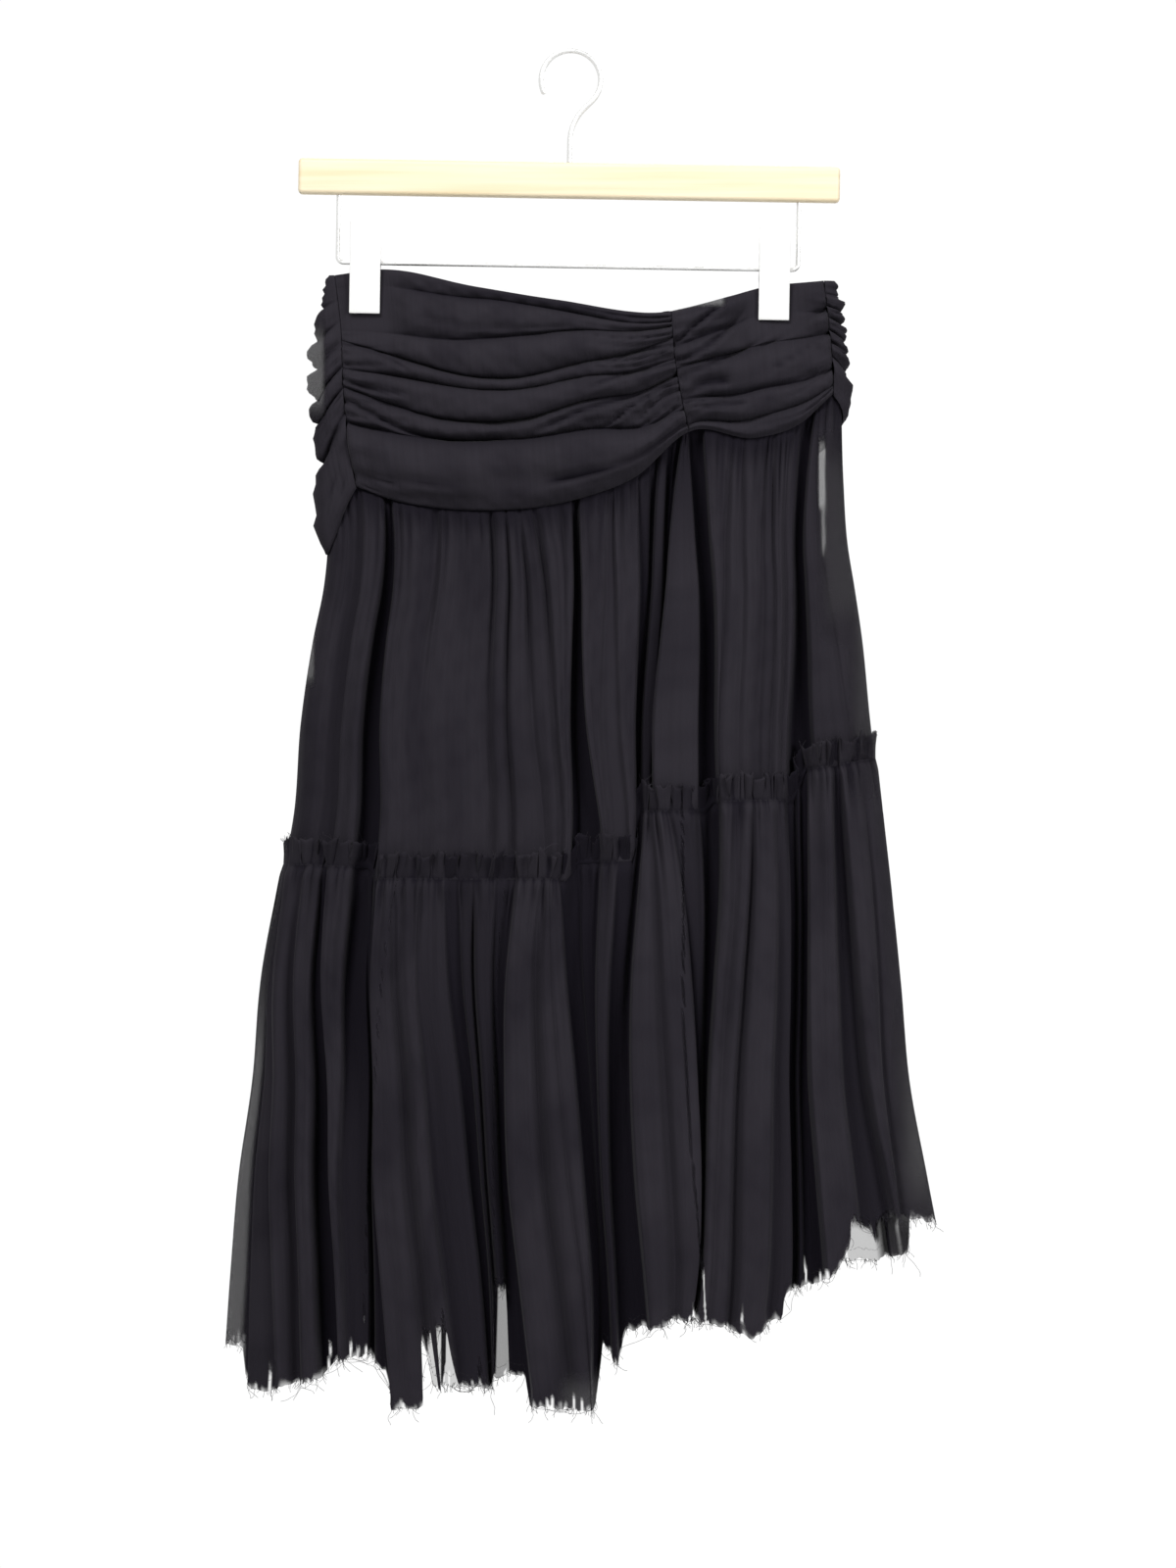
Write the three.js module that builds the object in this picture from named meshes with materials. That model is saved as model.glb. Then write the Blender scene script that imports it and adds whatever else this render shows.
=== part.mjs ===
// An asymmetric tiered skirt on a clip hanger. A ruched yoke carries a gathered upper tier, and that
// carries a gathered lower tier whose raw edge stands up above the seam as a heading. Two clips hold
// the waist on the steel rod of a wooden hanger.
// Millimetres, +Z up, the front towards -Y. The origin is the inner top of the hook.
import * as THREE from "three";

// Driving dimensions
const WALL = 1.5; // cloth, drawn as a wall
const SEAM_GAP = 0.3; // between pieces that are sewn together
const YOKE_STAND = 1; // the yoke's face off the plain section
const LAP = 11; // how far the upper tier reaches up behind the yoke
const HEADING = 17; // the lower tier's raw edge above its seam
const ALLOWANCE = 8; // the upper tier below that seam
const ROUND = 0.8; // how square the plain section is, 1 for an ellipse
const TIER_INSET = 2.1; // the upper tier's top inside the plain section
const PINCHED = 3.1; // half the depth of the plain section between a clip's jaws
const CLIP_SPREAD = 28; // how far to each side a clip flattens the cloth
const HANGER_TILT = 0.95 * THREE.MathUtils.DEG2RAD; // the hanger's right end hangs low
const BAR = { length: 380, height: 25, thick: 12, top: -77, edge: 3 };
const ROD = { radius: 1.6, drop: 47.5, reach: 161.5, bend: 4, sides: 8, steps: 64 };
const HOOK = { inside: 19, wire: 1.9, mouth: 205, sides: 8, steps: 40 };
const CLIP = { width: 21.5, handle: 29, jaw: 36, plate: 1.8, waist: 1.5, splay: 6, web: 3, bore: 1.9 };
const CLIP_PLACES = { clip_left: -144.5, clip_right: 142.5 };

// The skirt's plain section at each height: its two side edges, and half its depth.
const SILHOUETTE = [
  { z: -152, left: -168, right: 183, depth: 10 },
  { z: -190, left: -176, right: 187, depth: 13 },
  { z: -228, left: -179, right: 189, depth: 16 },
  { z: -300, left: -173, right: 191, depth: 20 },
  { z: -345, left: -171, right: 194, depth: 24 },
  { z: -376, left: -174, right: 199, depth: 28 },
  { z: -410, left: -181, right: 204, depth: 31 },
  { z: -470, left: -190, right: 210, depth: 37 },
  { z: -535, left: -195, right: 218, depth: 43 },
  { z: -590, left: -206, right: 225, depth: 49 },
  { z: -650, left: -218, right: 231, depth: 55 },
  { z: -720, left: -224, right: 237, depth: 61 },
  { z: -790, left: -234, right: 250, depth: 66 },
  { z: -850, left: -239, right: 261, depth: 70 },
  { z: -955, left: -246, right: 270, depth: 76 },
];

// The yoke's seams, from the waist down.
const LEFT_SEAM = [
  { z: -156, x: -166 },
  { z: -190, x: -162 },
  { z: -240, x: -159 },
  { z: -270, x: -156 },
  { z: -306, x: -150 },
];
const CENTRE_SEAM = [
  { z: -184, x: 70 },
  { z: -211, x: 72 },
  { z: -238, x: 76 },
  { z: -266, x: 82 },
];
const RIGHT_SEAM = [
  { z: -160, x: 177 },
  { z: -217, x: 182 },
  { z: -240, x: 183 },
];

// The front's waist and the yoke's lower edge, from left to right.
const WAIST = [
  { x: -166, z: -156 },
  { x: -134, z: -152 },
  { x: -71, z: -164 },
  { x: -11, z: -174 },
  { x: 70, z: -184 },
  { x: 108, z: -173 },
  { x: 132, z: -165 },
  { x: 177, z: -160 },
];
const YOKE_FOOT = [
  { x: -150, z: -305 },
  { x: -126, z: -314 },
  { x: -94, z: -320 },
  { x: -57, z: -322 },
  { x: -25, z: -320 },
  { x: 12, z: -312 },
  { x: 46, z: -298 },
  { x: 82, z: -267 },
  { x: 129, z: -271 },
  { x: 163, z: -259 },
  { x: 183, z: -240 },
];

// The back's lower edge. It wraps round both sides: the share of the way from the left seam to the
// right one.
const BACK_FOOT = [
  { across: 0, z: -306 },
  { across: 0.08, z: -349 },
  { across: 0.14, z: -352 },
  { across: 0.35, z: -338 },
  { across: 0.55, z: -318 },
  { across: 0.78, z: -288 },
  { across: 0.92, z: -258 },
  { across: 1, z: -240 },
];

// A crease is a valley of the ruching: how far down its panel it lies at the panel's start, middle and
// end, and how deep it is. swell is how far the cloth below it stands proud.
const RUCHES_FRONT_LEFT = [
  { start: 0, middle: 0, end: 0, deep: 0, swell: 4 },
  { start: 0.25, middle: 0.22, end: 0.12, deep: 1.5, swell: 5.5 },
  { start: 0.4, middle: 0.395, end: 0.24, deep: 3, swell: 3.5 },
  { start: 0.48, middle: 0.47, end: 0.44, deep: 1.5, swell: 6 },
  { start: 0.56, middle: 0.6, end: 0.58, deep: 2.5, swell: 3 },
  { start: 0.66, middle: 0.675, end: 0.82, deep: 2, swell: 10 },
  { start: 1, middle: 1, end: 1, deep: 0, swell: 0 },
];
const RUCHES_FRONT_RIGHT = [
  { start: 0, middle: 0, end: 0, deep: 0, swell: 4 },
  { start: 0.3, middle: 0.22, end: 0.14, deep: 2, swell: 5 },
  { start: 0.52, middle: 0.45, end: 0.36, deep: 2.5, swell: 6 },
  { start: 0.78, middle: 0.76, end: 0.66, deep: 2.5, swell: 7 },
  { start: 1, middle: 1, end: 1, deep: 0, swell: 0 },
];
const RUCHES_BACK = [
  { start: 0, middle: 0, end: 0, deep: 0, swell: 3.5 },
  { start: 0.2, middle: 0.24, end: 0.22, deep: 2, swell: 5 },
  { start: 0.42, middle: 0.44, end: 0.4, deep: 2.5, swell: 5.5 },
  { start: 0.62, middle: 0.66, end: 0.68, deep: 2.5, swell: 8 },
  { start: 1, middle: 1, end: 1, deep: 0, swell: 0 },
];

// The tiers' edges: place runs from the left side, 0, to the right side, 1.
const TIER_SEAM_FRONT = [
  { place: 0, z: -569 },
  { place: 0.14, z: -572 },
  { place: 0.16, z: -581 },
  { place: 0.47, z: -577 },
  { place: 0.5, z: -568 },
  { place: 0.585, z: -564 },
  { place: 0.605, z: -534 },
  { place: 0.7, z: -531 },
  { place: 0.735, z: -524 },
  { place: 0.85, z: -521 },
  { place: 0.885, z: -503 },
  { place: 1, z: -494 },
];
const TIER_SEAM_BACK = [
  { place: 0, z: -569 },
  { place: 0.3, z: -577 },
  { place: 0.62, z: -552 },
  { place: 1, z: -494 },
];
const HEM_FRONT = [
  { place: 0, z: -905 },
  { place: 0.03, z: -930 },
  { place: 0.065, z: -940 },
  { place: 0.16, z: -918 },
  { place: 0.215, z: -917 },
  { place: 0.24, z: -951 },
  { place: 0.325, z: -948 },
  { place: 0.35, z: -938 },
  { place: 0.4, z: -934 },
  { place: 0.425, z: -952 },
  { place: 0.515, z: -952 },
  { place: 0.555, z: -912 },
  { place: 0.63, z: -893 },
  { place: 0.65, z: -879 },
  { place: 0.71, z: -881 },
  { place: 0.745, z: -901 },
  { place: 0.79, z: -871 },
  { place: 0.85, z: -855 },
  { place: 0.94, z: -854 },
  { place: 0.965, z: -824 },
  { place: 1, z: -819 },
];
const HEM_BACK = [
  { place: 0, z: -905 },
  { place: 0.12, z: -928 },
  { place: 0.35, z: -938 },
  { place: 0.6, z: -905 },
  { place: 0.85, z: -858 },
  { place: 1, z: -819 },
];

// The folds of the front, one row for each valley: its place at the tier's top and at its foot, and
// how deep it is against the others.
const UPPER_FOLDS_FRONT = [
  { top: 0, foot: 0, deep: 0 },
  { top: 0.077, foot: 0.067, deep: 1 },
  { top: 0.133, foot: 0.135, deep: 1.8 },
  { top: 0.234, foot: 0.215, deep: 0.6 },
  { top: 0.336, foot: 0.333, deep: 1.2 },
  { top: 0.384, foot: 0.425, deep: 0.9 },
  { top: 0.493, foot: 0.488, deep: 2 },
  { top: 0.55, foot: 0.545, deep: 0.9 },
  { top: 0.622, foot: 0.592, deep: 1.8 },
  { top: 0.716, foot: 0.71, deep: 2 },
  { top: 0.79, foot: 0.765, deep: 0.8 },
  { top: 0.855, foot: 0.812, deep: 0.8 },
  { top: 0.925, foot: 0.866, deep: 2 },
  { top: 1, foot: 1, deep: 0 },
];
const LOWER_FOLDS_FRONT = [
  { top: 0, foot: 0, deep: 0 },
  { top: 0.072, foot: 0.04, deep: 0.9 },
  { top: 0.105, foot: 0.09, deep: 0.8 },
  { top: 0.158, foot: 0.13, deep: 1.5 },
  { top: 0.222, foot: 0.185, deep: 0.9 },
  { top: 0.262, foot: 0.24, deep: 1 },
  { top: 0.311, foot: 0.29, deep: 0.8 },
  { top: 0.345, foot: 0.353, deep: 1.4 },
  { top: 0.382, foot: 0.395, deep: 1 },
  { top: 0.42, foot: 0.433, deep: 0.9 },
  { top: 0.49, foot: 0.512, deep: 1.6 },
  { top: 0.545, foot: 0.558, deep: 1.5 },
  { top: 0.592, foot: 0.635, deep: 1.2 },
  { top: 0.655, foot: 0.675, deep: 0.8 },
  { top: 0.708, foot: 0.722, deep: 1.5 },
  { top: 0.765, foot: 0.766, deep: 0.9 },
  { top: 0.812, foot: 0.8, deep: 0.9 },
  { top: 0.866, foot: 0.842, deep: 1.6 },
  { top: 0.91, foot: 0.895, deep: 0.9 },
  { top: 0.955, foot: 0.95, deep: 0.8 },
  { top: 1, foot: 1, deep: 0 },
];
const UPPER_FOLDS_BACK = spreadFolds(13);
const LOWER_FOLDS_BACK = spreadFolds(18);

// A tier's levels, from its top down. drop is the share of the way from its upper line to its lower
// line and lift a distance above that. crest is how high a fold of usual width stands, sink how low a
// valley lies, and stand how far the whole wall stands off the plain section.
const UPPER_LEVELS = [
  { drop: 0, lift: LAP, crest: 0.6, sink: 0.3, stand: -TIER_INSET },
  { drop: 0, lift: -2, crest: 1.2, sink: 0.6, stand: -TIER_INSET },
  { drop: 0.14, lift: 0, crest: 4.5, sink: 2, stand: -2.5 },
  { drop: 0.4, lift: 0, crest: 7, sink: 3, stand: -2 },
  { drop: 0.7, lift: 0, crest: 8.5, sink: 4, stand: -2 },
  { drop: 0.95, lift: 0, crest: 5, sink: 2.5, stand: -2 },
  { drop: 1, lift: 0, crest: 3, sink: 1.5, stand: -2 },
  { drop: 1, lift: -ALLOWANCE, crest: 3, sink: 1.5, stand: -2 },
];
const LOWER_LEVELS = [
  { drop: 0, lift: HEADING, follow: 1, crest: 4, sink: 0, stand: 5.5 },
  { drop: 0, lift: HEADING / 2, follow: 1, crest: 3, sink: 0, stand: 3.2 },
  { drop: 0, lift: 0, follow: 1, crest: 0.4, sink: 0, stand: 2.5 },
  { drop: 0, lift: -ALLOWANCE, follow: 1, crest: 2, sink: 0, stand: 3 },
  { drop: 0.12, lift: 0, follow: 0.6, crest: 7, sink: 2, stand: 2 },
  { drop: 0.32, lift: 0, follow: 0.3, crest: 11, sink: 4, stand: 0 },
  { drop: 0.6, lift: 0, follow: 0, crest: 13, sink: 5, stand: 0 },
  { drop: 1, lift: 0, follow: 0, crest: 14, sink: 6, stand: 0 },
];
const USUAL_FOLD = 30; // width of a fold that stands as high as its level's crest

// Rows of evenly spread valleys with an uneven rhythm, for a side that hangs freely.
function spreadFolds(count) {
  const rows = [{ top: 0, foot: 0, deep: 0 }];
  for (let i = 1; i < count; i += 1) {
    const top = (i + 0.28 * Math.sin(2.4 * i)) / count;
    const foot = (i + 0.3 * Math.sin(2.4 * i + 1.1)) / count;
    rows.push({ top, foot, deep: 1.2 + 0.5 * Math.sin(1.7 * i) });
  }
  rows.push({ top: 1, foot: 1, deep: 0 });
  return rows;
}

const mix = THREE.MathUtils.lerp;

// A column of a table at a place between its rows, held level beyond its ends.
function read(table, key, at, column) {
  const rising = table.at(-1)[key] > table[0][key];
  const next = table.findIndex((row) => (rising ? row[key] >= at : row[key] <= at));
  if (next === 0) return table[0][column];
  if (next < 0) return table.at(-1)[column];
  const [a, b] = [table[next - 1], table[next]];
  return mix(a[column], b[column], (at - a[key]) / (b[key] - a[key]));
}

// Half the section's depth at x, as a share of the full one: the clips pinch the waist flat.
function pinch(x, z, depth) {
  const held = THREE.MathUtils.smoothstep(z, -235, -182);
  let share = 1;
  for (const place of Object.values(CLIP_PLACES)) {
    const near = Math.exp(-(((x - place) / CLIP_SPREAD) ** 4));
    share = Math.min(share, 1 - near * held * (1 - PINCHED / depth));
  }
  return share;
}

// The plain section at a height. turn is 0 at the left side and PI at the right, and negative in front.
function plain(z, turn) {
  const left = read(SILHOUETTE, "z", z, "left");
  const right = read(SILHOUETTE, "z", z, "right");
  const depth = read(SILHOUETTE, "z", z, "depth");
  const x = (left + right) / 2 - ((right - left) / 2) * Math.cos(turn);
  const wave = Math.sin(turn);
  const y = Math.sign(wave) * depth * Math.abs(wave) ** ROUND * pinch(x, z, depth);
  return new THREE.Vector2(x, y);
}

// A point that stands off the plain section by a distance, and the way straight out from it.
function standOff(z, turn, distance) {
  const here = plain(z, turn);
  const step = 0.02;
  const along = plain(z, turn + step).sub(plain(z, turn - step)).normalize();
  const out = new THREE.Vector3(-along.y, along.x, 0);
  return { point: new THREE.Vector3(here.x, here.y, z).addScaledVector(out, distance), out };
}

// The turn that reaches a given x on one side of the section.
function turnAt(z, x) {
  const left = read(SILHOUETTE, "z", z, "left");
  const right = read(SILHOUETTE, "z", z, "right");
  return Math.acos(THREE.MathUtils.clamp((left + right - 2 * x) / (right - left), -1, 1));
}

// The way into the cloth at a point of a grid: square to its surface, or to the plain section at a
// side edge, so that neighbours stay apart there.
function inward(rows, r, c) {
  const row = rows[r];
  if (c === 0 || c === row.length - 1) return row[c].out.clone().negate();
  const across = row[c + 1].point.clone().sub(row[c - 1].point);
  const above = rows[Math.max(r - 1, 0)][c].point;
  const below = rows[Math.min(r + 1, rows.length - 1)][c].point;
  return across.cross(below.clone().sub(above)).normalize();
}

// A wall of cloth behind a grid of outer points, whose columns run to the right as seen from outside.
// keep moves a point back to its own side of a seam.
function clothWall(rows, keep = (point) => point) {
  const height = rows.length;
  const width = rows[0].length;
  const outer = rows.flat().map(({ point }) => keep(point.clone()));
  const inner = rows.flatMap((row, r) =>
    row.map(({ point }, c) => keep(point.clone().addScaledVector(inward(rows, r, c), WALL))),
  );
  const at = (r, c) => r * width + c;
  const faces = [];
  const quad = (a, b, c, d) => faces.push(a, b, c, a, c, d);
  const behind = outer.length;
  for (let r = 0; r + 1 < height; r += 1) {
    for (let c = 0; c + 1 < width; c += 1) {
      quad(at(r, c), at(r + 1, c), at(r + 1, c + 1), at(r, c + 1));
      quad(behind + at(r, c), behind + at(r, c + 1), behind + at(r + 1, c + 1), behind + at(r + 1, c));
    }
    quad(at(r, 0), behind + at(r, 0), behind + at(r + 1, 0), at(r + 1, 0));
    quad(at(r, width - 1), at(r + 1, width - 1), behind + at(r + 1, width - 1), behind + at(r, width - 1));
  }
  for (let c = 0; c + 1 < width; c += 1) {
    quad(at(0, c), at(0, c + 1), behind + at(0, c + 1), behind + at(0, c));
    const foot = height - 1;
    quad(at(foot, c), behind + at(foot, c), behind + at(foot, c + 1), at(foot, c + 1));
  }
  const geometry = new THREE.BufferGeometry();
  const values = [...outer, ...inner].flatMap((point) => point.toArray());
  geometry.setAttribute("position", new THREE.Float32BufferAttribute(values, 3));
  geometry.setIndex(faces);
  geometry.computeVertexNormals();
  return geometry;
}

// Where a crease lies at a share of the way across its panel: a parabola through its three places.
function creaseAt(crease, across) {
  const bow = crease.middle - (crease.start + crease.end) / 2;
  return mix(crease.start, crease.end, across) + bow * 4 * across * (1 - across);
}

// 0 under a clip's jaws and 1 away from them.
function clipFree(x, z) {
  const held = THREE.MathUtils.smoothstep(z, -225, -188);
  const near = Object.values(CLIP_PLACES).map((place) => Math.exp(-(((x - place) / CLIP_SPREAD) ** 4)));
  return 1 - held * Math.max(...near);
}

// A ruched panel of the yoke. turnOf gives the turn at a height and a share of the way across, edges
// the heights of its waist and foot there.
function ruchedPanel({ columns, ruches, turnOf, edges, behind }) {
  const steps = 4;
  const rows = [];
  for (let i = 0; i + 1 < ruches.length; i += 1) {
    const [upper, lower] = [ruches[i], ruches[i + 1]];
    const lines = i + 2 === ruches.length ? steps + 1 : steps;
    for (let step = 0; step < lines; step += 1) {
      const t = step / steps;
      const row = [];
      for (let c = 0; c <= columns; c += 1) {
        const across = c / columns;
        const { waist, foot } = edges(across);
        const z = mix(waist, foot, mix(creaseAt(upper, across), creaseAt(lower, across), t));
        const turn = turnOf(z, across);
        const gathered = 0.3 + 0.7 * Math.sin(Math.PI * across) ** 0.5;
        const swell = upper.swell * Math.sin(Math.PI * t) ** 0.8 - mix(upper.deep, lower.deep, t);
        row.push(standOff(z, turn, YOKE_STAND + swell * gathered * clipFree(plain(z, turn).x, z)));
      }
      rows.push(row);
    }
  }
  if (behind) rows.forEach((row) => row.reverse());
  return clothWall(rows);
}

// A front panel between two seams.
function frontPanel(columns, ruches, from, to) {
  const inset = SEAM_GAP / 2;
  return ruchedPanel({
    columns,
    ruches,
    turnOf: (z, across) => {
      const start = read(from, "z", z, "x") + inset;
      const end = read(to, "z", z, "x") - inset;
      return -turnAt(z, mix(start, end, across));
    },
    edges: (across) => ({
      waist: read(WAIST, "x", mix(from[0].x, to[0].x, across), "z"),
      foot: read(YOKE_FOOT, "x", mix(from.at(-1).x, to.at(-1).x, across), "z"),
    }),
  });
}

// The back's turn at its left seam and at its right one.
function backSpan(z) {
  const inset = SEAM_GAP / 2;
  return {
    start: -turnAt(z, read(LEFT_SEAM, "z", z, "x") - inset),
    end: 2 * Math.PI - turnAt(z, read(RIGHT_SEAM, "z", z, "x") + inset),
  };
}

// The x of a share of the way across the back.
function backX(z, across) {
  const { start, end } = backSpan(z);
  return plain(z, mix(start, end, across)).x;
}

function backPanel(columns, ruches) {
  return ruchedPanel({
    columns,
    ruches,
    behind: true,
    turnOf: (z, across) => mix(backSpan(z).start, backSpan(z).end, across),
    edges: (across) => ({
      waist: read(WAIST, "x", backX(WAIST[0].z, across), "z"),
      foot: read(BACK_FOOT, "across", across, "z"),
    }),
  });
}

// How high the fold at a place of a tier stands. width is the tier's there.
function foldHeight(folds, level, place, width) {
  const valley = (row) => mix(row.top, row.foot, level.drop);
  const next = folds.findIndex((row) => valley(row) > place);
  const i = next < 0 ? folds.length - 2 : Math.max(0, next - 1);
  const gap = valley(folds[i + 1]) - valley(folds[i]);
  const t = THREE.MathUtils.clamp((place - valley(folds[i])) / gap, 0, 1);
  const size = Math.min(1.2, (gap * width) / USUAL_FOLD);
  const crest = level.crest * size * Math.sin(Math.PI * t) ** 0.8;
  const sink = level.sink * mix(folds[i].deep, folds[i + 1].deep, t);
  const fromSide = THREE.MathUtils.smoothstep(Math.min(place, 1 - place), 0, 0.06);
  return (crest - sink) * mix(0.35, 1, fromSide);
}

// A gathered tier of one side: side is -1 in front and 1 behind. The lines give the heights of its
// upper and lower edges at a place, and under what it is sewn on.
function gatheredTier({ side, folds, steps, levels, upperLine, lowerLine, under }) {
  const columns = [];
  for (let i = 0; i + 1 < folds.length; i += 1) {
    for (let step = 0; step < steps; step += 1) {
      const t = step / steps;
      columns.push({
        top: mix(folds[i].top, folds[i + 1].top, t),
        foot: mix(folds[i].foot, folds[i + 1].foot, t),
      });
    }
  }
  columns.push({ top: 1, foot: 1 });
  const rows = levels.map((level) =>
    columns.map((column) => {
      const place = mix(column.top, column.foot, level.drop);
      const z = mix(upperLine(column.top), lowerLine(column.foot), level.drop) + level.lift;
      const width = read(SILHOUETTE, "z", z, "right") - read(SILHOUETTE, "z", z, "left");
      const carried = under ? level.follow * under(place, width) : 0;
      const distance = level.stand + foldHeight(folds, level, place, width) + carried;
      return standOff(z, side * Math.acos(1 - 2 * place), distance);
    }),
  );
  if (side > 0) rows.forEach((row) => row.reverse());
  return clothWall(rows, (point) => point.setY(side * Math.max(side * point.y, SEAM_GAP / 2)));
}

// The wooden bar, with rounded long edges.
function barGeometry() {
  const { length, height, thick, edge } = BAR;
  const [x, y] = [thick / 2 - edge, height / 2 - edge];
  const outline = new THREE.Shape();
  outline.absarc(x, y, edge, 0, Math.PI / 2);
  outline.absarc(-x, y, edge, Math.PI / 2, Math.PI);
  outline.absarc(-x, -y, edge, Math.PI, 1.5 * Math.PI);
  outline.absarc(x, -y, edge, 1.5 * Math.PI, 2 * Math.PI);
  const bar = new THREE.ExtrudeGeometry(outline, { depth: length, bevelEnabled: false, curveSegments: 3 });
  return alongX(bar, length);
}

// Turns an extrusion so that its outline lies in Y and Z and its length runs along X about the middle.
function alongX(geometry, length) {
  const [x, y, z] = [new THREE.Vector3(0, 1, 0), new THREE.Vector3(0, 0, 1), new THREE.Vector3(1, 0, 0)];
  return geometry.translate(0, 0, -length / 2).applyMatrix4(new THREE.Matrix4().makeBasis(x, y, z));
}

// A round wire along a path.
function wire(path, radius, sides, steps) {
  const round = new THREE.Shape().absarc(0, 0, radius, 0, 2 * Math.PI);
  return new THREE.ExtrudeGeometry(round, { extrudePath: path, steps, curveSegments: sides / 2 });
}

// The rod hangs under the bar on its two upturned ends.
function rodGeometry() {
  const top = BAR.top - BAR.height - SEAM_GAP;
  const low = BAR.top - BAR.height - ROD.drop;
  const at = (x, z) => new THREE.Vector3(x, 0, z);
  const path = new THREE.CurvePath();
  path.add(new THREE.LineCurve3(at(-ROD.reach, top), at(-ROD.reach, low + ROD.bend)));
  path.add(
    new THREE.QuadraticBezierCurve3(
      at(-ROD.reach, low + ROD.bend),
      at(-ROD.reach, low),
      at(-ROD.reach + ROD.bend, low),
    ),
  );
  path.add(new THREE.LineCurve3(at(-ROD.reach + ROD.bend, low), at(ROD.reach - ROD.bend, low)));
  path.add(
    new THREE.QuadraticBezierCurve3(
      at(ROD.reach - ROD.bend, low),
      at(ROD.reach, low),
      at(ROD.reach, low + ROD.bend),
    ),
  );
  path.add(new THREE.LineCurve3(at(ROD.reach, low + ROD.bend), at(ROD.reach, top)));
  return wire(path, ROD.radius, ROD.sides, ROD.steps);
}

// The hook's wire rises from the bar and turns over the rail in most of a circle.
function hookGeometry() {
  const radius = HOOK.inside + HOOK.wire;
  const points = [
    new THREE.Vector3(0, 0, BAR.top + SEAM_GAP),
    new THREE.Vector3(0, 0, -62),
    new THREE.Vector3(1, 0, -50),
    new THREE.Vector3(8, 0, -41),
  ];
  for (let angle = -45; angle <= HOOK.mouth; angle += 25) {
    const turn = angle * THREE.MathUtils.DEG2RAD;
    points.push(new THREE.Vector3(radius * Math.cos(turn), 0, radius * Math.sin(turn) - HOOK.inside));
  }
  return wire(new THREE.CatmullRomCurve3(points), HOOK.wire, HOOK.sides, HOOK.steps);
}

// A clip: two sprung plates joined by a web that slides on the rod, with the cloth between their jaws.
function clipGeometry() {
  const face = PINCHED + YOKE_STAND + 2 * SEAM_GAP;
  const back = face + CLIP.plate;
  const half = [
    [back, -CLIP.jaw],
    [back + CLIP.waist, 0],
    [back + CLIP.splay, CLIP.handle],
    [face + CLIP.splay, CLIP.handle],
    [face + CLIP.waist, CLIP.web],
  ];
  const under = [
    [-face, -CLIP.jaw],
    [-face - CLIP.waist, -CLIP.web],
    [face + CLIP.waist, -CLIP.web],
    [face, -CLIP.jaw],
  ];
  const mirrored = half.map(([y, z]) => [-y, z]).reverse();
  const outline = new THREE.Shape([...half, ...mirrored, ...under].map(([y, z]) => new THREE.Vector2(y, z)));
  outline.holes.push(new THREE.Path().absarc(0, 0, CLIP.bore, 0, 2 * Math.PI, true));
  const clip = new THREE.ExtrudeGeometry(outline, { depth: CLIP.width, bevelEnabled: false, curveSegments: 4 });
  return alongX(clip, CLIP.width);
}

// Colours and finishes.
const CLOTH = { color: 0x17171b, roughness: 0.9, metalness: 0 };
const WOOD = { color: 0xe8d9b0, roughness: 0.5, metalness: 0 };
const STEEL = { color: 0xc8c8cc, roughness: 0.25, metalness: 1 };
const WHITE = { color: 0xf2f2f0, roughness: 0.4, metalness: 0 };

function piece(name, geometry, finish) {
  const mesh = new THREE.Mesh(geometry, new THREE.MeshStandardMaterial(finish));
  mesh.name = name;
  return mesh;
}

const hanger = new THREE.Group();
hanger.rotation.y = HANGER_TILT;
hanger.add(piece("hanger_hook", hookGeometry(), STEEL));
const bar = piece("hanger_bar", barGeometry(), WOOD);
bar.position.z = BAR.top - BAR.height / 2;
hanger.add(bar);
hanger.add(piece("hanger_rod", rodGeometry(), STEEL));
for (const [name, place] of Object.entries(CLIP_PLACES)) {
  const clip = piece(name, clipGeometry(), WHITE);
  const rodHeight = BAR.top - BAR.height - ROD.drop;
  clip.position.set(place - rodHeight * Math.sin(HANGER_TILT), 0, rodHeight);
  hanger.add(clip);
}

const yoke = new THREE.Group();
yoke.add(piece("yoke_front_left", frontPanel(16, RUCHES_FRONT_LEFT, LEFT_SEAM, CENTRE_SEAM), CLOTH));
yoke.add(piece("yoke_front_right", frontPanel(9, RUCHES_FRONT_RIGHT, CENTRE_SEAM, RIGHT_SEAM), CLOTH));
yoke.add(piece("yoke_back", backPanel(32, RUCHES_BACK), CLOTH));

// The yoke's lower edge over a tier, and the levels at which the tiers meet.
const YOKE_FOOT_HEIGHT = -300;
const placeToX = (place) =>
  mix(read(SILHOUETTE, "z", YOKE_FOOT_HEIGHT, "left"), read(SILHOUETTE, "z", YOKE_FOOT_HEIGHT, "right"), place);
const yokeFootFront = (place) => read(YOKE_FOOT, "x", placeToX(place), "z");
const yokeFootBack = (place) => {
  const { start, end } = backSpan(YOKE_FOOT_HEIGHT);
  return read(BACK_FOOT, "across", (Math.acos(1 - 2 * place) - start) / (end - start), "z");
};
const SEAM_LEVEL = UPPER_LEVELS.at(-2);
const lineOf = (table) => (place) => read(table, "place", place, "z");
const upperAtSeam = (folds) => (place, width) =>
  SEAM_LEVEL.stand + foldHeight(folds, SEAM_LEVEL, place, width);

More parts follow.
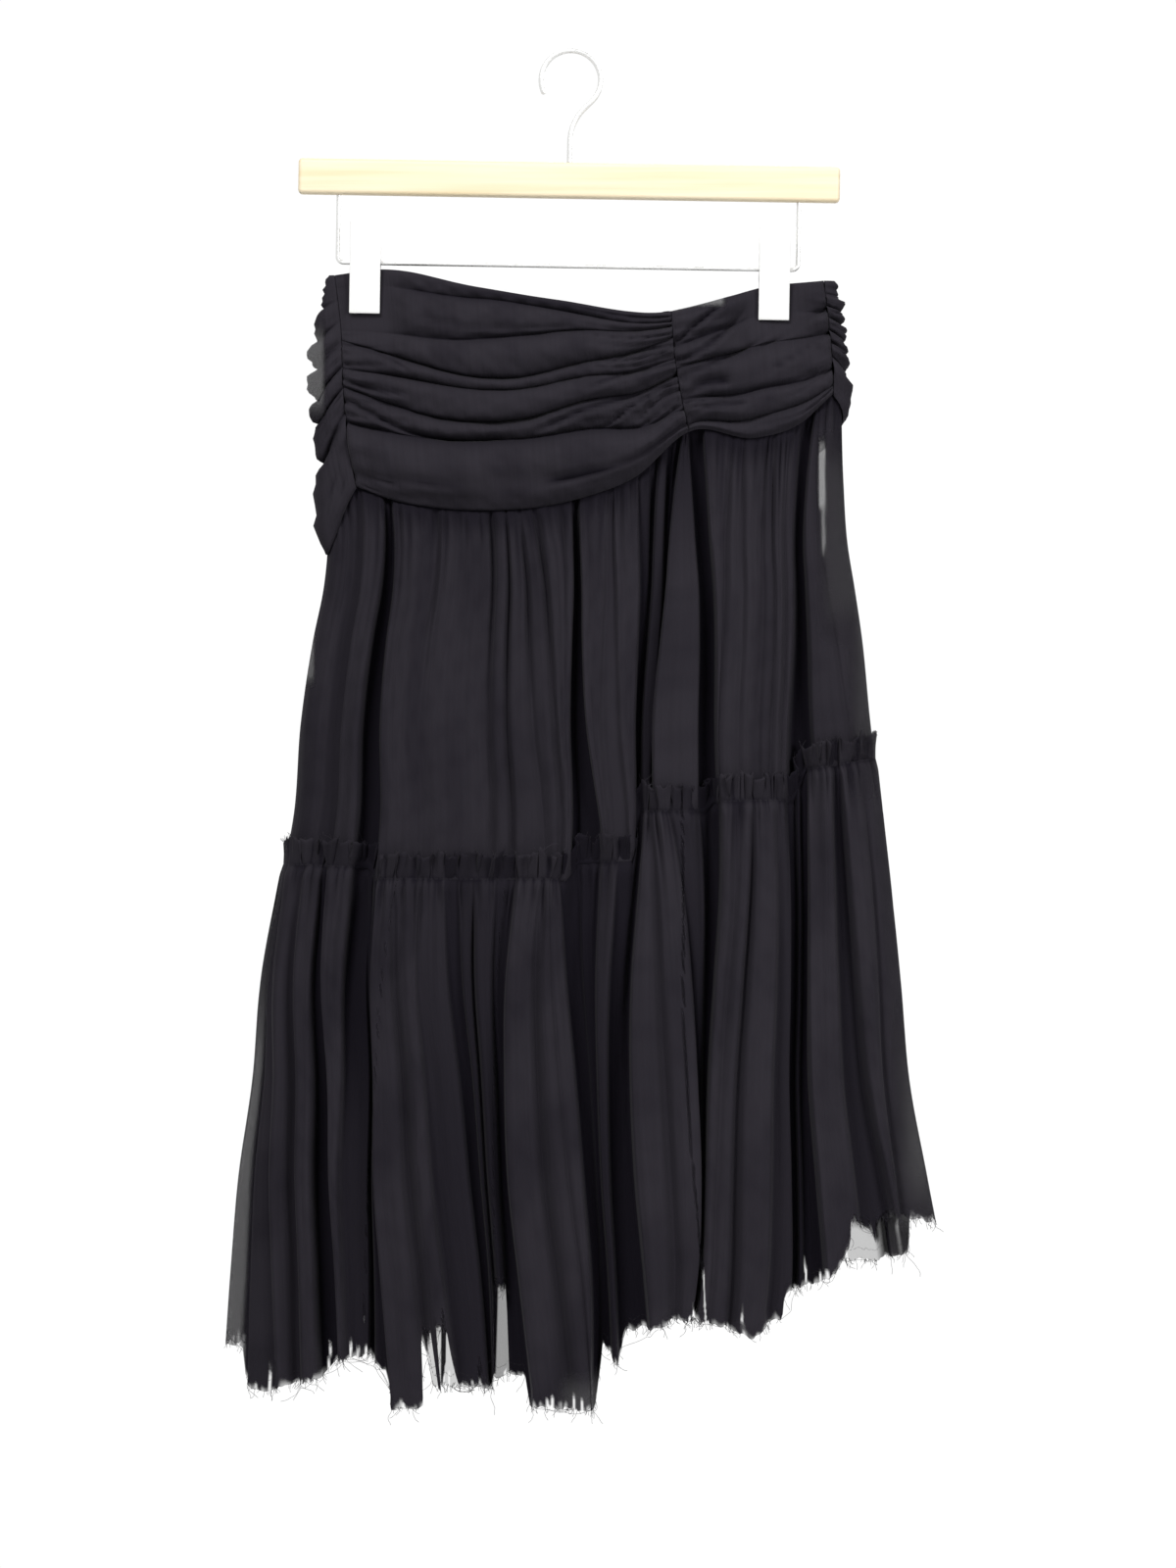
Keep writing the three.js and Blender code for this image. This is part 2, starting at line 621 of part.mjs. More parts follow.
const tiers = new THREE.Group();
const SIDES = [
  {
    name: "front",
    side: -1,
    upperFolds: UPPER_FOLDS_FRONT,
    lowerFolds: LOWER_FOLDS_FRONT,
    yokeFoot: yokeFootFront,
    seam: lineOf(TIER_SEAM_FRONT),
    hem: lineOf(HEM_FRONT),
  },
  {
    name: "back",
    side: 1,
    upperFolds: UPPER_FOLDS_BACK,
    lowerFolds: LOWER_FOLDS_BACK,
    yokeFoot: yokeFootBack,
    seam: lineOf(TIER_SEAM_BACK),
    hem: lineOf(HEM_BACK),
  },
];
for (const { name, side, upperFolds, lowerFolds, yokeFoot, seam, hem } of SIDES) {
  const upper = gatheredTier({
    side,
    folds: upperFolds,
    steps: 4,
    levels: UPPER_LEVELS,
    upperLine: yokeFoot,
    lowerLine: seam,
  });
  const lower = gatheredTier({
    side,
    folds: lowerFolds,
    steps: 4,
    levels: LOWER_LEVELS,
    upperLine: seam,
    lowerLine: hem,
    under: upperAtSeam(upperFolds),
  });
  tiers.add(piece(`upper_tier_${name}`, upper, CLOTH));
  tiers.add(piece(`lower_tier_${name}`, lower, CLOTH));
}

const skirt = new THREE.Group();
skirt.add(hanger, yoke, tiers);
export default skirt;
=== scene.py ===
"""An asymmetric tiered skirt of black chiffon on a wooden clip hanger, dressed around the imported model.

Lengths are millimetres, as in the tables below, until a mesh is made, which is in metres. +Z is up, the
front of the skirt faces -Y, and the origin is the inner top of the hook. The cloth repeats the model's
plain section, seams and folds as fine sheets, and adds gathers, puckers, stitches and loose threads.
"""

import math

import bpy
import numpy as np
from mathutils import Matrix, Vector


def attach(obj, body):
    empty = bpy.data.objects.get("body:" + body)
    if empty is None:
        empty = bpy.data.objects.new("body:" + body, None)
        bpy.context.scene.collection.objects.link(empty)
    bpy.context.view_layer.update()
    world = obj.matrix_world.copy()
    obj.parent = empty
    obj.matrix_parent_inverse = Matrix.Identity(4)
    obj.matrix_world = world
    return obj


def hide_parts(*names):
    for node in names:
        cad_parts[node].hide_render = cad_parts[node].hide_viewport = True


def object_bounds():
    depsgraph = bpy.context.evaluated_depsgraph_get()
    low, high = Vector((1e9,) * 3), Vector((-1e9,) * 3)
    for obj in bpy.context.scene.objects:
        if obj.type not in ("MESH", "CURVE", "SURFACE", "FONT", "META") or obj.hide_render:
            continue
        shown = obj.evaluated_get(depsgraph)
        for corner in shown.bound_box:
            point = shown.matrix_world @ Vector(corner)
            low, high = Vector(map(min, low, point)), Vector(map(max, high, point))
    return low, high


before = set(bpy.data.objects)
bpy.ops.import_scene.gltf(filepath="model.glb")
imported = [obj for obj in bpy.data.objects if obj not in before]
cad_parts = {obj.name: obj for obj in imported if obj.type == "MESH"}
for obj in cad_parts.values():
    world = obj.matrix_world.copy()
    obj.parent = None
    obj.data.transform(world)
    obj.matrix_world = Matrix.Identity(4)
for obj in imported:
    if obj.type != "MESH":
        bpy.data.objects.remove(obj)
CAD_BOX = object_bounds()
MM = 0.001
ALL_ROUND = 2 * math.pi

# Camera, floor and light, in metres.
CAMERA_AWAY = 4.0
CAMERA_AT = Vector((0.0117, -CAMERA_AWAY, -0.513))
VIEW_HALF_HEIGHT = 0.5504  # what the camera sees above and below its middle, at the hanger
SENSOR = 36.0
FLOOR_BELOW = 0.41  # under the skirt's lowest point
FLOOR_RADIUS = 1.15

# Sizes shared with the model.
YOKE_STAND = 1.0  # the yoke's face off the plain section
LAP = 11  # how far the upper tier reaches up behind the yoke
HEADING = 17  # the lower tier's raw edge above its seam
ALLOWANCE = 8  # the upper tier below that seam
SEAM_STAND = 1.4  # how far the upper tier stands off its own relief where the lower one is sewn to it
ALLOWANCE_IN = 6  # how much further in it lies below that seam
ROUND = 0.8  # how square the plain section is, 1 for an ellipse
PINCHED = 3.1  # half the depth of the plain section between a clip's jaws
CLIP_SPREAD = 28  # how far to each side a clip flattens the cloth
CLIP_PLACES = {"clip_left": -144.5, "clip_right": 142.5}
SEAM_GAP = 0.3  # between pieces that are sewn together or touch
HANGER_TILT = math.radians(0.95)
BAR = {"length": 380, "height": 25, "thick": 12, "top": -77, "edge": 3}
ROD = {"radius": 1.6, "drop": 47.5, "reach": 161.5, "bend": 4}
HOOK = {"inside": 19, "wire": 1.9, "start": -45, "mouth": 205, "stem": -62, "sweep": 32.35, "neck": 7.5}
CLIP = {"width": 21.5, "handle": 29, "jaw": 36, "plate": 1.8, "waist": 1.5, "splay": 6, "barrel": 3.6}

# The light, with its places and sizes in metres.
WORLD_LIGHT = 0.22
BACKDROP_LIGHT = 1.02
LAMPS = {
    "key": {"at": (-1.1, -2.1, 1.9), "size": 1.1, "watts": 92},
    "fill": {"at": (1.8, -1.9, 0.4), "size": 1.3, "watts": 47},
    "behind": {"at": (0.4, 2.4, 0.9), "size": 2.0, "watts": 55},
}
LAMPS_AIM = Vector((0, 0, -0.5))

# Colours, as linear red, green and blue.
CLOTH_DARK = (0.0203, 0.0182, 0.0232)
CLOTH_PALE = (0.0232, 0.0208, 0.0266)
# Painted shade: the cloth's colour where shade falls in its folds, hollows and pinches.
CLOTH_PAINTED_SHADE = (0.0068, 0.0057, 0.0092)
THREAD_COLOUR = (0.015, 0.0132, 0.018)
WOOD_DARK = (0.80, 0.66, 0.42)
WOOD_PALE = (0.90, 0.80, 0.60)
STEEL = (0.70, 0.70, 0.69)
ENAMEL = (0.83, 0.83, 0.82)
FLOOR_PAINT = (0.86, 0.86, 0.86)

# The fine cloth.
CLOTH_THICK = 0.4
RUCHED_MORE = 1.5  # how much prouder the ruching's rolls are than the model's
SUNK_MORE = 1.0  # how much further a valley sinks than the model's
GATHERS_UPPER = ((9, 2.0, 20), (15, 3.2, 42), (27, 2.6, 90))  # pitch, height and reach of each size
GATHERS_LOWER = ((7.6, 2.0, 14), (11.8, 3.2, 25), (21, 2.3, 52))
BAND_DEPTH = 8  # how far in a receded band lies
HEM_ROWS = (15, 12, 9.5, 7.5, 6, 4.6, 3.4, 2.2, 1.1, 0)  # above the hem
HEM_STITCHED = 7.5  # the one of them that is stitched
GATHERED_ALONG = 560  # how long the line is along which a tier's gathers and waves are laid out
FRAYED_ALONG = 500  # the same for the fray of its hem
SLIT_PITCH = 1.7  # from one slit that the raw hem may have to the next
SEAM_WIDTH = 425  # how wide the skirt is at the tier seam
RELIEF_COLUMNS = 900  # places across the tier seam at which the upper tier's relief is taken
YOKE_FOOT_HEIGHT = -300  # the level at which the yoke's foot is laid out along the tiers
UPPER_HEADER = (11, 8.5, 6, 4, 2, 0.8, 0, -1, -2.5, -4.5, -7, -10)
LOWER_HEADER = (17, 14.5, 12, 9.5, 7, 5, 3, 1.5, 0, -1.5, -3.5, -6, -9, -12)
SIZES_FRONT = {"upper": 430, "upper_rows": 50, "lower": 600, "lower_rows": 58}
SIZES_BACK = {"upper": 400, "upper_rows": 44, "lower": 480, "lower_rows": 58}
THREAD_SIDES = 3
THREAD_RADIUS = 0.14
STITCH_LIFT = 0.2  # how far the stitches lie off the cloth
LOOSE_AT_HEM = (520, 4.2)  # how many loose threads, and their usual length
LOOSE_AT_HEADING = (320, 2.6)
DRAWN_AT_HEM = 26
STITCH = 2.4
STITCH_GAP = 1.2
YOKE_STEPS_LEFT = (16,) * 9
YOKE_STEPS_RIGHT = (14,) * 9
YOKE_STEPS_BACK = (11,) * 9

FOLD_COLUMNS = "top middle foot stands low_stands soft deep low_deep half"
NO_VALLEY = (0, 0, 2)


def table(columns, *rows):
    """A table with named columns, held as one array for each."""
    values = np.array(rows, float).T
    return dict(zip(columns.split(), values))


def fold_table(*rows):
    """The table of a side's folds, in which a row of six numbers gets NO_VALLEY as its last three."""
    return table(FOLD_COLUMNS, *(row if len(row) == 9 else (*row, *NO_VALLEY) for row in rows))


# The skirt's plain section at each height: its two side edges, and half its depth.
SILHOUETTE = table(
    "z left right depth",
    (-955, -246, 270, 76),
    (-850, -239, 261, 70),
    (-790, -234, 250, 66),
    (-720, -224, 237, 61),
    (-650, -218, 231, 55),
    (-590, -206, 225, 49),
    (-535, -195, 218, 43),
    (-470, -190, 210, 37),
    (-410, -181, 204, 31),
    (-376, -174, 199, 28),
    (-345, -171, 194, 24),
    (-300, -173, 191, 20),
    (-228, -179, 189, 16),
    (-190, -176, 187, 13),
    (-152, -168, 183, 10),
)

# The yoke's seams, from the foot up.
LEFT_SEAM = table("z x", (-306, -150), (-270, -156), (-240, -159), (-190, -162), (-156, -166))
CENTRE_SEAM = table("z x", (-266, 82), (-238, 76), (-211, 72), (-184, 70))
RIGHT_SEAM = table("z x", (-240, 183), (-217, 182), (-160, 177))

# The waist and the yoke's lower edge in front, from left to right.
WAIST = table(
    "x z",
    (-166, -156),
    (-134, -152),
    (-71, -164),
    (-11, -174),
    (70, -182),
    (108, -172),
    (132, -165),
    (177, -160),
)
YOKE_FOOT = table(
    "x z",
    (-150, -305),
    (-126, -314),
    (-94, -320),
    (-57, -322),
    (-25, -320),
    (12, -312),
    (46, -298),
    (82, -267),
    (129, -271),
    (163, -259),
    (183, -240),
)
# The back's lower edge wraps round both sides: the share of the way from the left seam to the right.
BACK_FOOT = table(
    "across z",
    (0, -306),
    (0.08, -349),
    (0.14, -352),
    (0.35, -338),
    (0.55, -318),
    (0.78, -288),
    (0.92, -258),
    (1, -240),
)

# The main creases of the ruching, from the waist down. Each has five places on its way across its
# panel, as shares of the panel's height there. deep is how far it sinks, and swell how far the cloth
# below it stands proud.
RUCHES_FRONT_LEFT = table(
    "start early middle late end deep swell",
    (0, 0, 0, 0, 0, 0, 1.2),
    (0.06, 0.075, 0.045, 0.06, 0.09, 1.6, 3.6),
    (0.264, 0.275, 0.21, 0.135, 0.125, 1.4, 5.2),
    (0.31, 0.393, 0.4, 0.3, 0.22, 3.2, 4.6),
    (0.445, 0.462, 0.45, 0.38, 0.4, 1.4, 5.6),
    (0.53, 0.61, 0.59, 0.5, 0.54, 2.6, 4.4),
    (0.7, 0.705, 0.675, 0.665, 0.82, 2, 10),
    (1, 1, 1, 1, 1, 0, 0),
)
RUCHES_FRONT_RIGHT = table(
    "start early middle late end deep swell",
    (0, 0, 0, 0, 0, 0, 3.2),
    (0.3, 0.24, 0.19, 0.2, 0.27, 2, 4.8),
    (0.48, 0.42, 0.38, 0.39, 0.46, 2.4, 5.6),
    (0.76, 0.72, 0.68, 0.7, 0.78, 1.6, 4.6),
    (0.95, 0.91, 0.86, 0.86, 0.92, 1.6, 3.4),
    (1, 1, 1, 1, 1, 0, 0),
)
RUCHES_BACK = table(
    "start early middle late end deep swell",
    (0, 0, 0, 0, 0, 0, 2.8),
    (0.12, 0.12, 0.1, 0.1, 0.12, 1.2, 3.8),
    (0.22, 0.26, 0.25, 0.26, 0.22, 2, 4.8),
    (0.33, 0.345, 0.37, 0.33, 0.32, 1.6, 4.4),
    (0.43, 0.47, 0.46, 0.47, 0.43, 2.4, 5),
    (0.53, 0.55, 0.59, 0.56, 0.54, 1.8, 4.8),
    (0.65, 0.7, 0.68, 0.7, 0.66, 2.4, 8),
    (1, 1, 1, 1, 1, 0, 0),
)
# Short creases of the front: where each starts, bends and ends, as shares across and down the panel.
SHORT_CREASES_LEFT = table(
    "across1 down1 across2 down2 across3 down3 deep half",
    (0.2, 0.2, 0.45, 0.17, 0.72, 0.11, 0.7, 1.3),
    (0.0, 0.33, 0.09, 0.36, 0.2, 0.42, 1.2, 1.6),
    (0.0, 0.49, 0.1, 0.52, 0.19, 0.52, 1.6, 1.8),
    (0.02, 0.6, 0.18, 0.68, 0.5, 0.655, 1.8, 2),
    (0.38, 0.62, 0.5, 0.6, 0.62, 0.55, 1.4, 2),
    (0.54, 0.635, 0.75, 0.54, 0.99, 0.52, 1.8, 1.8),
    (0.74, 0.655, 0.87, 0.57, 0.99, 0.585, 1.6, 1.6),
    (0.86, 0.66, 0.92, 0.63, 0.99, 0.65, 1.2, 1.3),
    (0.72, 0.44, 0.85, 0.39, 0.99, 0.43, 1.5, 1.5),
    (0.8, 0.31, 0.9, 0.26, 0.99, 0.29, 1.2, 1.4),
    (0.0, 0.955, 0.16, 0.91, 0.36, 0.89, 1.3, 2.2),
    (0.55, 0.89, 0.8, 0.885, 1.02, 0.93, 2.6, 1.7),
)
SHORT_CREASES_RIGHT = table(
    "across1 down1 across2 down2 across3 down3 deep half",
    (0, 0.27, 0.18, 0.13, 0.36, 0.02, 2.2, 2.2),
    (0, 0.42, 0.25, 0.3, 0.5, 0.1, 1.8, 2),
    (0.02, 0.56, 0.3, 0.44, 0.8, 0.2, 1.5, 2),
    (0.06, 0.66, 0.2, 0.6, 0.34, 0.58, 2.2, 3),
    (0.45, 0.44, 0.75, 0.32, 1, 0.24, 1.5, 2.2),
    (0.07, 0.84, 0.25, 0.78, 0.45, 0.74, 1.4, 2),
    (0.55, 0.56, 0.8, 0.5, 1, 0.46, 1.2, 1.8),
)

# The tiers' edges: place runs from the left side, 0, to the right side, 1.
TIER_SEAM_FRONT = table(
    "place z",
    (0, -569),
    (0.142, -571),
    (0.158, -579),
    (0.468, -579),
    (0.487, -568),
    (0.577, -566),
    (0.589, -532),
    (0.697, -532),
    (0.716, -525),
    (0.848, -524),
    (0.876, -503),
    (1, -495),
)
TIER_SEAM_BACK = table("place z", (0, -569), (0.3, -577), (0.62, -552), (1, -495))
HEM_FRONT = table(
    "place z",
    (0, -905),
    (0.028, -905),
    (0.034, -925),
    (0.052, -933),
    (0.07, -934),
    (0.103, -929),
    (0.134, -926),
    (0.164, -911),
    (0.202, -908),
    (0.229, -918),
    (0.239, -944),
    (0.279, -941),
    (0.284, -892),
    (0.298, -890),
    (0.3, -930),
    (0.304, -931),
    (0.306, -888),
    (0.324, -888),
    (0.33, -927),
    (0.374, -930),
    (0.377, -861),
    (0.391, -862),
    (0.394, -921),
    (0.417, -923),
    (0.42, -941),
    (0.508, -943),
    (0.518, -898),
    (0.54, -914),
    (0.554, -891),
    (0.606, -886),
    (0.612, -881),
    (0.66, -884),
    (0.686, -887),
    (0.716, -895),
    (0.742, -886),
    (0.764, -882),
    (0.769, -864),
    (0.811, -860),
    (0.84, -852),
    (0.862, -832),
    (0.868, -815),
    (0.9, -820),
    (0.904, -832),
    (0.909, -816),
    (0.94, -812),
    (0.955, -816),
    (1, -819),
)
HEM_BACK = table(
    "place z",
    (0, -905),
    (0.1, -917),
    (0.2, -900),
    (0.27, -912),
    (0.285, -942),
    (0.345, -946),
    (0.36, -938),
    (0.4, -934),
    (0.415, -905),
    (0.5, -912),
    (0.58, -880),
    (0.7, -858),
    (0.8, -845),
    (0.862, -852),
    (0.9, -851),
    (0.945, -846),
    (0.955, -818),
    (1, -819),
)
# The line that the folds run down to, under the uneven hem.
FOLDS_END = table("place z", (0, -915), (0.3, -940), (0.52, -925), (0.7, -885), (1, -820))

# The folds of the front, a row for each edge between them: its place at the tier's top, middle and
# foot, how high the cloth on its right stands at the top and at the foot (1 for a fold in front, 0 for
# the cloth furthest in), how wide the step at the edge is, and the valley along it: how deep it is at
# the top and at the foot, and half its width. A row that leaves the valley out has none.
UPPER_FOLDS_FRONT = fold_table(
    (0, 0, 0, 0.9, 0.9, 2),
    (0.035, 0.045, 0.045, 0.62, 0.6, 9),
    (0.069, 0.075, 0.077, 1, 0.95, 1.6),
    (0.112, 0.111, 0.117, 0, 0, 3),
    (0.128, 0.139, 0.157, 0.95, 0.95, 1.6),
    (0.217, 0.214, 0.232, 0.95, 0.95, 2, 0.9, 0.15, 2.6),
    (0.316, 0.332, 0.344, 1, 1, 2, 1, 0.4, 2),
    (0.345, 0.361, 0.379, 0.95, 0.95, 2, 1.2, 0.6, 1.6),
    (0.371, 0.404, 0.435, 1, 1, 2, 1.2, 0.35, 2.4),
    (0.397, 0.442, 0.459, 1, 1, 2, 0.9, 0.4, 2),
    (0.473, 0.473, 0.476, 0, 0, 1.6),
    (0.48, 0.482, 0.489, 0, 0.15, 1.6),
    (0.488, 0.496, 0.532, 1, 0.95, 1.6),
    (0.544, 0.528, 0.54, 0.65, 0.8, 4, 0.4, 0.1, 3),
    (0.555, 0.554, 0.57, 1, 0.95, 2.5),
    (0.603, 0.589, 0.579, 0.5, 0, 1.4),
    (0.629, 0.603, 0.585, 0, 0, 2.5),
    (0.644, 0.61, 0.59, 0.6, 0.5, 1.6),
    (0.662, 0.634, 0.606, 0, 0, 2),
    (0.693, 0.637, 0.611, 1, 1, 1.2),
    (0.704, 0.705, 0.687, 0, 0, 1.2),
    (0.734, 0.733, 0.72, 0.9, 0.95, 2),
    (0.79, 0.747, 0.726, 1, 1, 3, 0.5, 0.15, 2.5),
    (0.811, 0.783, 0.758, 1, 1, 2, 0.5, 0.15, 2),
    (0.856, 0.817, 0.79, 1, 1, 2, 0.3, 0.2, 2),
    (0.869, 0.839, 0.808, 1, 1, 2, 0.6, 0.3, 1.6),
    (0.901, 0.862, 0.828, 0.9, 0.9, 2, 0.3, 0.3, 2),
    (0.924, 0.881, 0.838, 0, 0, 6),
    (0.948, 0.906, 0.889, 0.75, 0.8, 2),
    (0.957, 0.944, 0.962, 1, 0.95, 2),
    (1, 1, 1, 1, 1, 2),
)
LOWER_FOLDS_FRONT = fold_table(
    (0, 0, 0, 0.5, 0.5, 2),
    (0.003, 0.026, 0.041, 0.55, 0.75, 3),
    (0.011, 0.05, 0.086, 1, 1, 2),
    (0.034, 0.078, 0.11, 0.95, 0.95, 2, 0.8, 0.8, 3.6),
    (0.067, 0.107, 0.139, 0.3, 0, 1.6),
    (0.075, 0.13, 0.168, 0.9, 0.9, 1.6),
    (0.119, 0.151, 0.178, 0, 0.5, 3.5),
    (0.145, 0.19, 0.203, 0, 0, 2),
    (0.153, 0.194, 0.212, 0, 0.4, 1.6),
    (0.162, 0.198, 0.236, 1, 0.95, 1.2),
    (0.192, 0.244, 0.288, 0.95, 0.9, 2, 0.5, 0.5, 3),
    (0.232, 0.277, 0.329, 0.7, 0.5, 1.3),
    (0.272, 0.328, 0.368, 0.4, 0, 1.6),
    (0.293, 0.346, 0.372, 0.55, 0.35, 1.4),
    (0.318, 0.356, 0.378, 0.6, 0.4, 1.2, 1.5, 1.3, 1.6),
    (0.354, 0.379, 0.389, 0.45, 0, 2, 1, 0.5, 1.8),
    (0.389, 0.391, 0.424, 1, 1, 2.5),
    (0.426, 0.441, 0.471, 1, 1, 2, 0.5, 0.45, 3),
    (0.442, 0.473, 0.5, 0.85, 0.9, 1.5),
    (0.458, 0.499, 0.504, 0.1, 0, 1.2),
    (0.485, 0.516, 0.512, 0.3, 0.1, 3),
    (0.522, 0.525, 0.532, 0.75, 0.45, 1.3),
    (0.551, 0.54, 0.542, 0.35, 0, 3),
    (0.595, 0.575, 0.586, 1, 1, 1.5),
    (0.604, 0.627, 0.615, 1, 1, 2, 0.5, 0.4, 3),
    (0.636, 0.678, 0.634, 0.6, 0.3, 1.3),
    (0.689, 0.685, 0.637, 0, 0, 1.6),
    (0.725, 0.693, 0.641, 1, 1, 1.3),
    (0.751, 0.71, 0.657, 1, 1, 2, 0.35, 0.1, 3),
    (0.779, 0.735, 0.689, 1, 1, 2, 0.8, 0.5, 2.5),
    (0.814, 0.789, 0.741, 0.65, 0.6, 6),
    (0.838, 0.817, 0.78, 0, 0, 1.6),
    (0.853, 0.828, 0.788, 0.35, 0.3, 1.4),
    (0.862, 0.836, 0.797, 0.12, 0.1, 1.6),
    (0.88, 0.85, 0.829, 1, 1, 1.6),
    (0.917, 0.897, 0.882, 0.35, 0.5, 8),
    (0.933, 0.926, 0.93, 1, 1, 1.3),
    (0.968, 0.957, 0.94, 0.9, 0.9, 1.6, 0.5, 0.4, 2),
    (1, 1, 1, 0.9, 0.9, 2),
)

# How a tier stands at each level. down is the share of its height from its seam, and negative above
# it, 0.01 for each millimetre. crest is how high a fold stands, sink how low a valley
# lies, stand how far the whole cloth stands off the plain section, and follow how closely it keeps to
# the tier above.
UPPER_LEVELS = table(
    "down crest sink stand follow",
    (-0.11, 0.6, 0.3, -2.1, 0),
    (0.01, 1.2, 0.6, -2.1, 0),
    (0.14, 5, 2, -2.5, 0),
    (0.4, 8, 3, -2, 0),
    (0.7, 9.5, 4, -2, 0),
    (0.94, 6.5, 3, -2, 0),
    (1, 3, 1.5, -2, 0),
    (1.04, 3, 1.5, -2, 0),
)
LOWER_LEVELS = table(
    "down crest sink stand follow",
    (-0.17, 2.5, 0, 5.6, 1),
    (-0.085, 1.6, 0, 3.6, 1),
    (0, 0.3, 0, 2.4, 1),
    (0.022, 2, 0, 3.4, 1),
    (0.12, 8, 2, 2.2, 0.6),
    (0.32, 12, 4, 0, 0.3),
    (0.6, 14, 5, 0, 0),
    (1, 15, 6, 0, 0),
)

# Places where fewer layers lie over each other, so that light comes through: the middle and half size
# of each in x and z, how soft its edges are both ways, and the share of light that one sheet passes.
THIN_PLACES = table(
    "x z wide high soft fade passes",
    (-184, -222, 8, 16, 5, 25, 0.3),
    (92, -172, 14, 3, 3, 5, 0.4),
    (176, -296, 2, 22, 1.5, 6, 0.5),
    (177, -322, 1.2, 26, 1.2, 9, 0.4),
    (200, -340, 16, 40, 14, 40, 0.13),
    (214, -420, 10, 50, 12, 60, 0.13),
    (250, -745, 6, 25, 24, 75, 0.2),
    (10, -940, 6, 3, 16, 22, 0.04),
    (-186, -395, 4, 40, 3, 12, 0.3),
)

# The share of light that the back passes where it shows under the front's hem.
UNDER_HEM = table(
    "place passes",
    (0, 0.6), (0.36, 0.6), (0.37, 0.3), (0.4, 0.3), (0.41, 0.62), (0.9, 0.55), (0.912, 0.015), (1, 0.015),
)
NEARER = 1.033  # how much larger the front looks than the back


# ---------------------------------------------------------------- numbers
def mix(a, b, t):
    return a + (b - a) * t


def read(rows, at, column):
    """A column of a table at places between its rows, held level beyond its ends."""
    key = next(iter(rows))
    return np.interp(at, rows[key], rows[column])


def eased(rows, at, column):
    """The same, along a smooth curve through the rows."""
    key = next(iter(rows))
    keys, values = rows[key], rows[column]
    slopes = np.gradient(values, keys)
    at = np.clip(at, keys[0], keys[-1])
    i = np.clip(np.searchsorted(keys, at, side="right") - 1, 0, len(keys) - 2)
    width = keys[i + 1] - keys[i]
    t = (at - keys[i]) / width
    rise = values[i + 1] - values[i]
    first = slopes[i] * width - rise
    last = rise - slopes[i + 1] * width
    return values[i] + rise * t + t * (1 - t) * (first * (1 - t) + last * t)


def ease(value, low, high):
    """0 at low, 1 at high and smooth between, whichever is the larger."""
    t = np.clip((value - low) / (high - low), 0, 1)
    return t * t * (3 - 2 * t)


def wander(at, seed, pitch):
    """An uneven wave of about -1 to 1, whose humps are about a pitch apart."""
    draw = np.random.default_rng(seed)
    total = np.zeros_like(np.asarray(at, float))
    for share, weight in ((0.61, 0.5), (1.0, 0.75), (1.47, 0.45), (2.13, 0.25)):
        total = total + weight * np.sin(ALL_ROUND * (at * share / pitch + draw.random()))
    return total / 1.4


def patches(u, v, seed, pitch_u, pitch_v):
    """Soft uneven patches of about -1 to 1 over two directions."""
    draw = np.random.default_rng(seed)
    total = 0
    for _ in range(5):
        angle = draw.uniform(0, ALL_ROUND)
        size = draw.uniform(0.7, 1.5)
        wave_u = u / pitch_u * size * math.cos(angle)
        wave_v = v / pitch_v * size * math.sin(angle)
        total = total + np.sin(ALL_ROUND * (wave_u + wave_v + draw.random()))
    return total / 2.4


def puckers(at, seed, pitch):
    """Uneven rounded humps parted by sharp valleys, from -1 to 1."""
    phase = at / pitch + 0.8 * wander(at, seed, pitch * 5)
    size = np.maximum(0.2, 0.7 + 0.4 * wander(at, seed + 1, pitch * 2.6))
    return (2 * np.abs(np.sin(np.pi * phase)) ** 0.75 - 1) * size


# ---------------------------------------------------------------- the plain section
def pinch(x, z, depth):
    """The share of the section's depth that the clips leave."""
    held = ease(z, -235, -182)
    share = np.ones_like(x)
    for place in CLIP_PLACES.values():
        near = np.exp(-(((x - place) / CLIP_SPREAD) ** 4))
        share = np.minimum(share, 1 - near * held * (1 - PINCHED / depth))
    return share


def clip_free(x, z):
    """0 under a clip's jaws and 1 away from them."""
    near = [np.exp(-(((x - place) / CLIP_SPREAD) ** 4)) for place in CLIP_PLACES.values()]
    return 1 - ease(z, -225, -188) * np.maximum(*near)


def plain(z, turn):
    """The plain section: turn is 0 at the left side and pi at the right, and negative in front."""
    left, right, depth = (eased(SILHOUETTE, z, column) for column in ("left", "right", "depth"))
    x = (left + right) / 2 - (right - left) / 2 * np.cos(turn)
    wave = np.sin(turn)
    return x, np.sign(wave) * depth * np.abs(wave) ** ROUND * pinch(x, z, depth)


def stand_off(z, turn, distance):
    """Points that stand off the plain section by a distance, straight out from it."""
    step = 0.02
    x, y = plain(z, turn)
    x1, y1 = plain(z, turn + step)
    x0, y0 = plain(z, turn - step)
    length = np.hypot(x1 - x0, y1 - y0)
    out_x, out_y = -(y1 - y0) / length, (x1 - x0) / length
    return np.stack([x + out_x * distance, y + out_y * distance, z + np.zeros_like(x)], axis=-1)


def turn_at(z, x):
    left, right = eased(SILHOUETTE, z, "left"), eased(SILHOUETTE, z, "right")
    return np.arccos(np.clip((left + right - 2 * x) / (right - left), -1, 1))


def light_passed(points):
    """The share of light that one sheet passes at each point, from the table of thin places."""
    passed = np.zeros(points.shape[:2])
    x, z = points[..., 0], points[..., 2]
    for place_x, place_z, wide, high, soft, fade, passes in zip(*THIN_PLACES.values()):
        across = ease(np.abs(x - place_x), wide + soft, wide)
        down = ease(np.abs(z - place_z), high + fade, high)
        passed = np.maximum(passed, passes * across * down)
    return passed


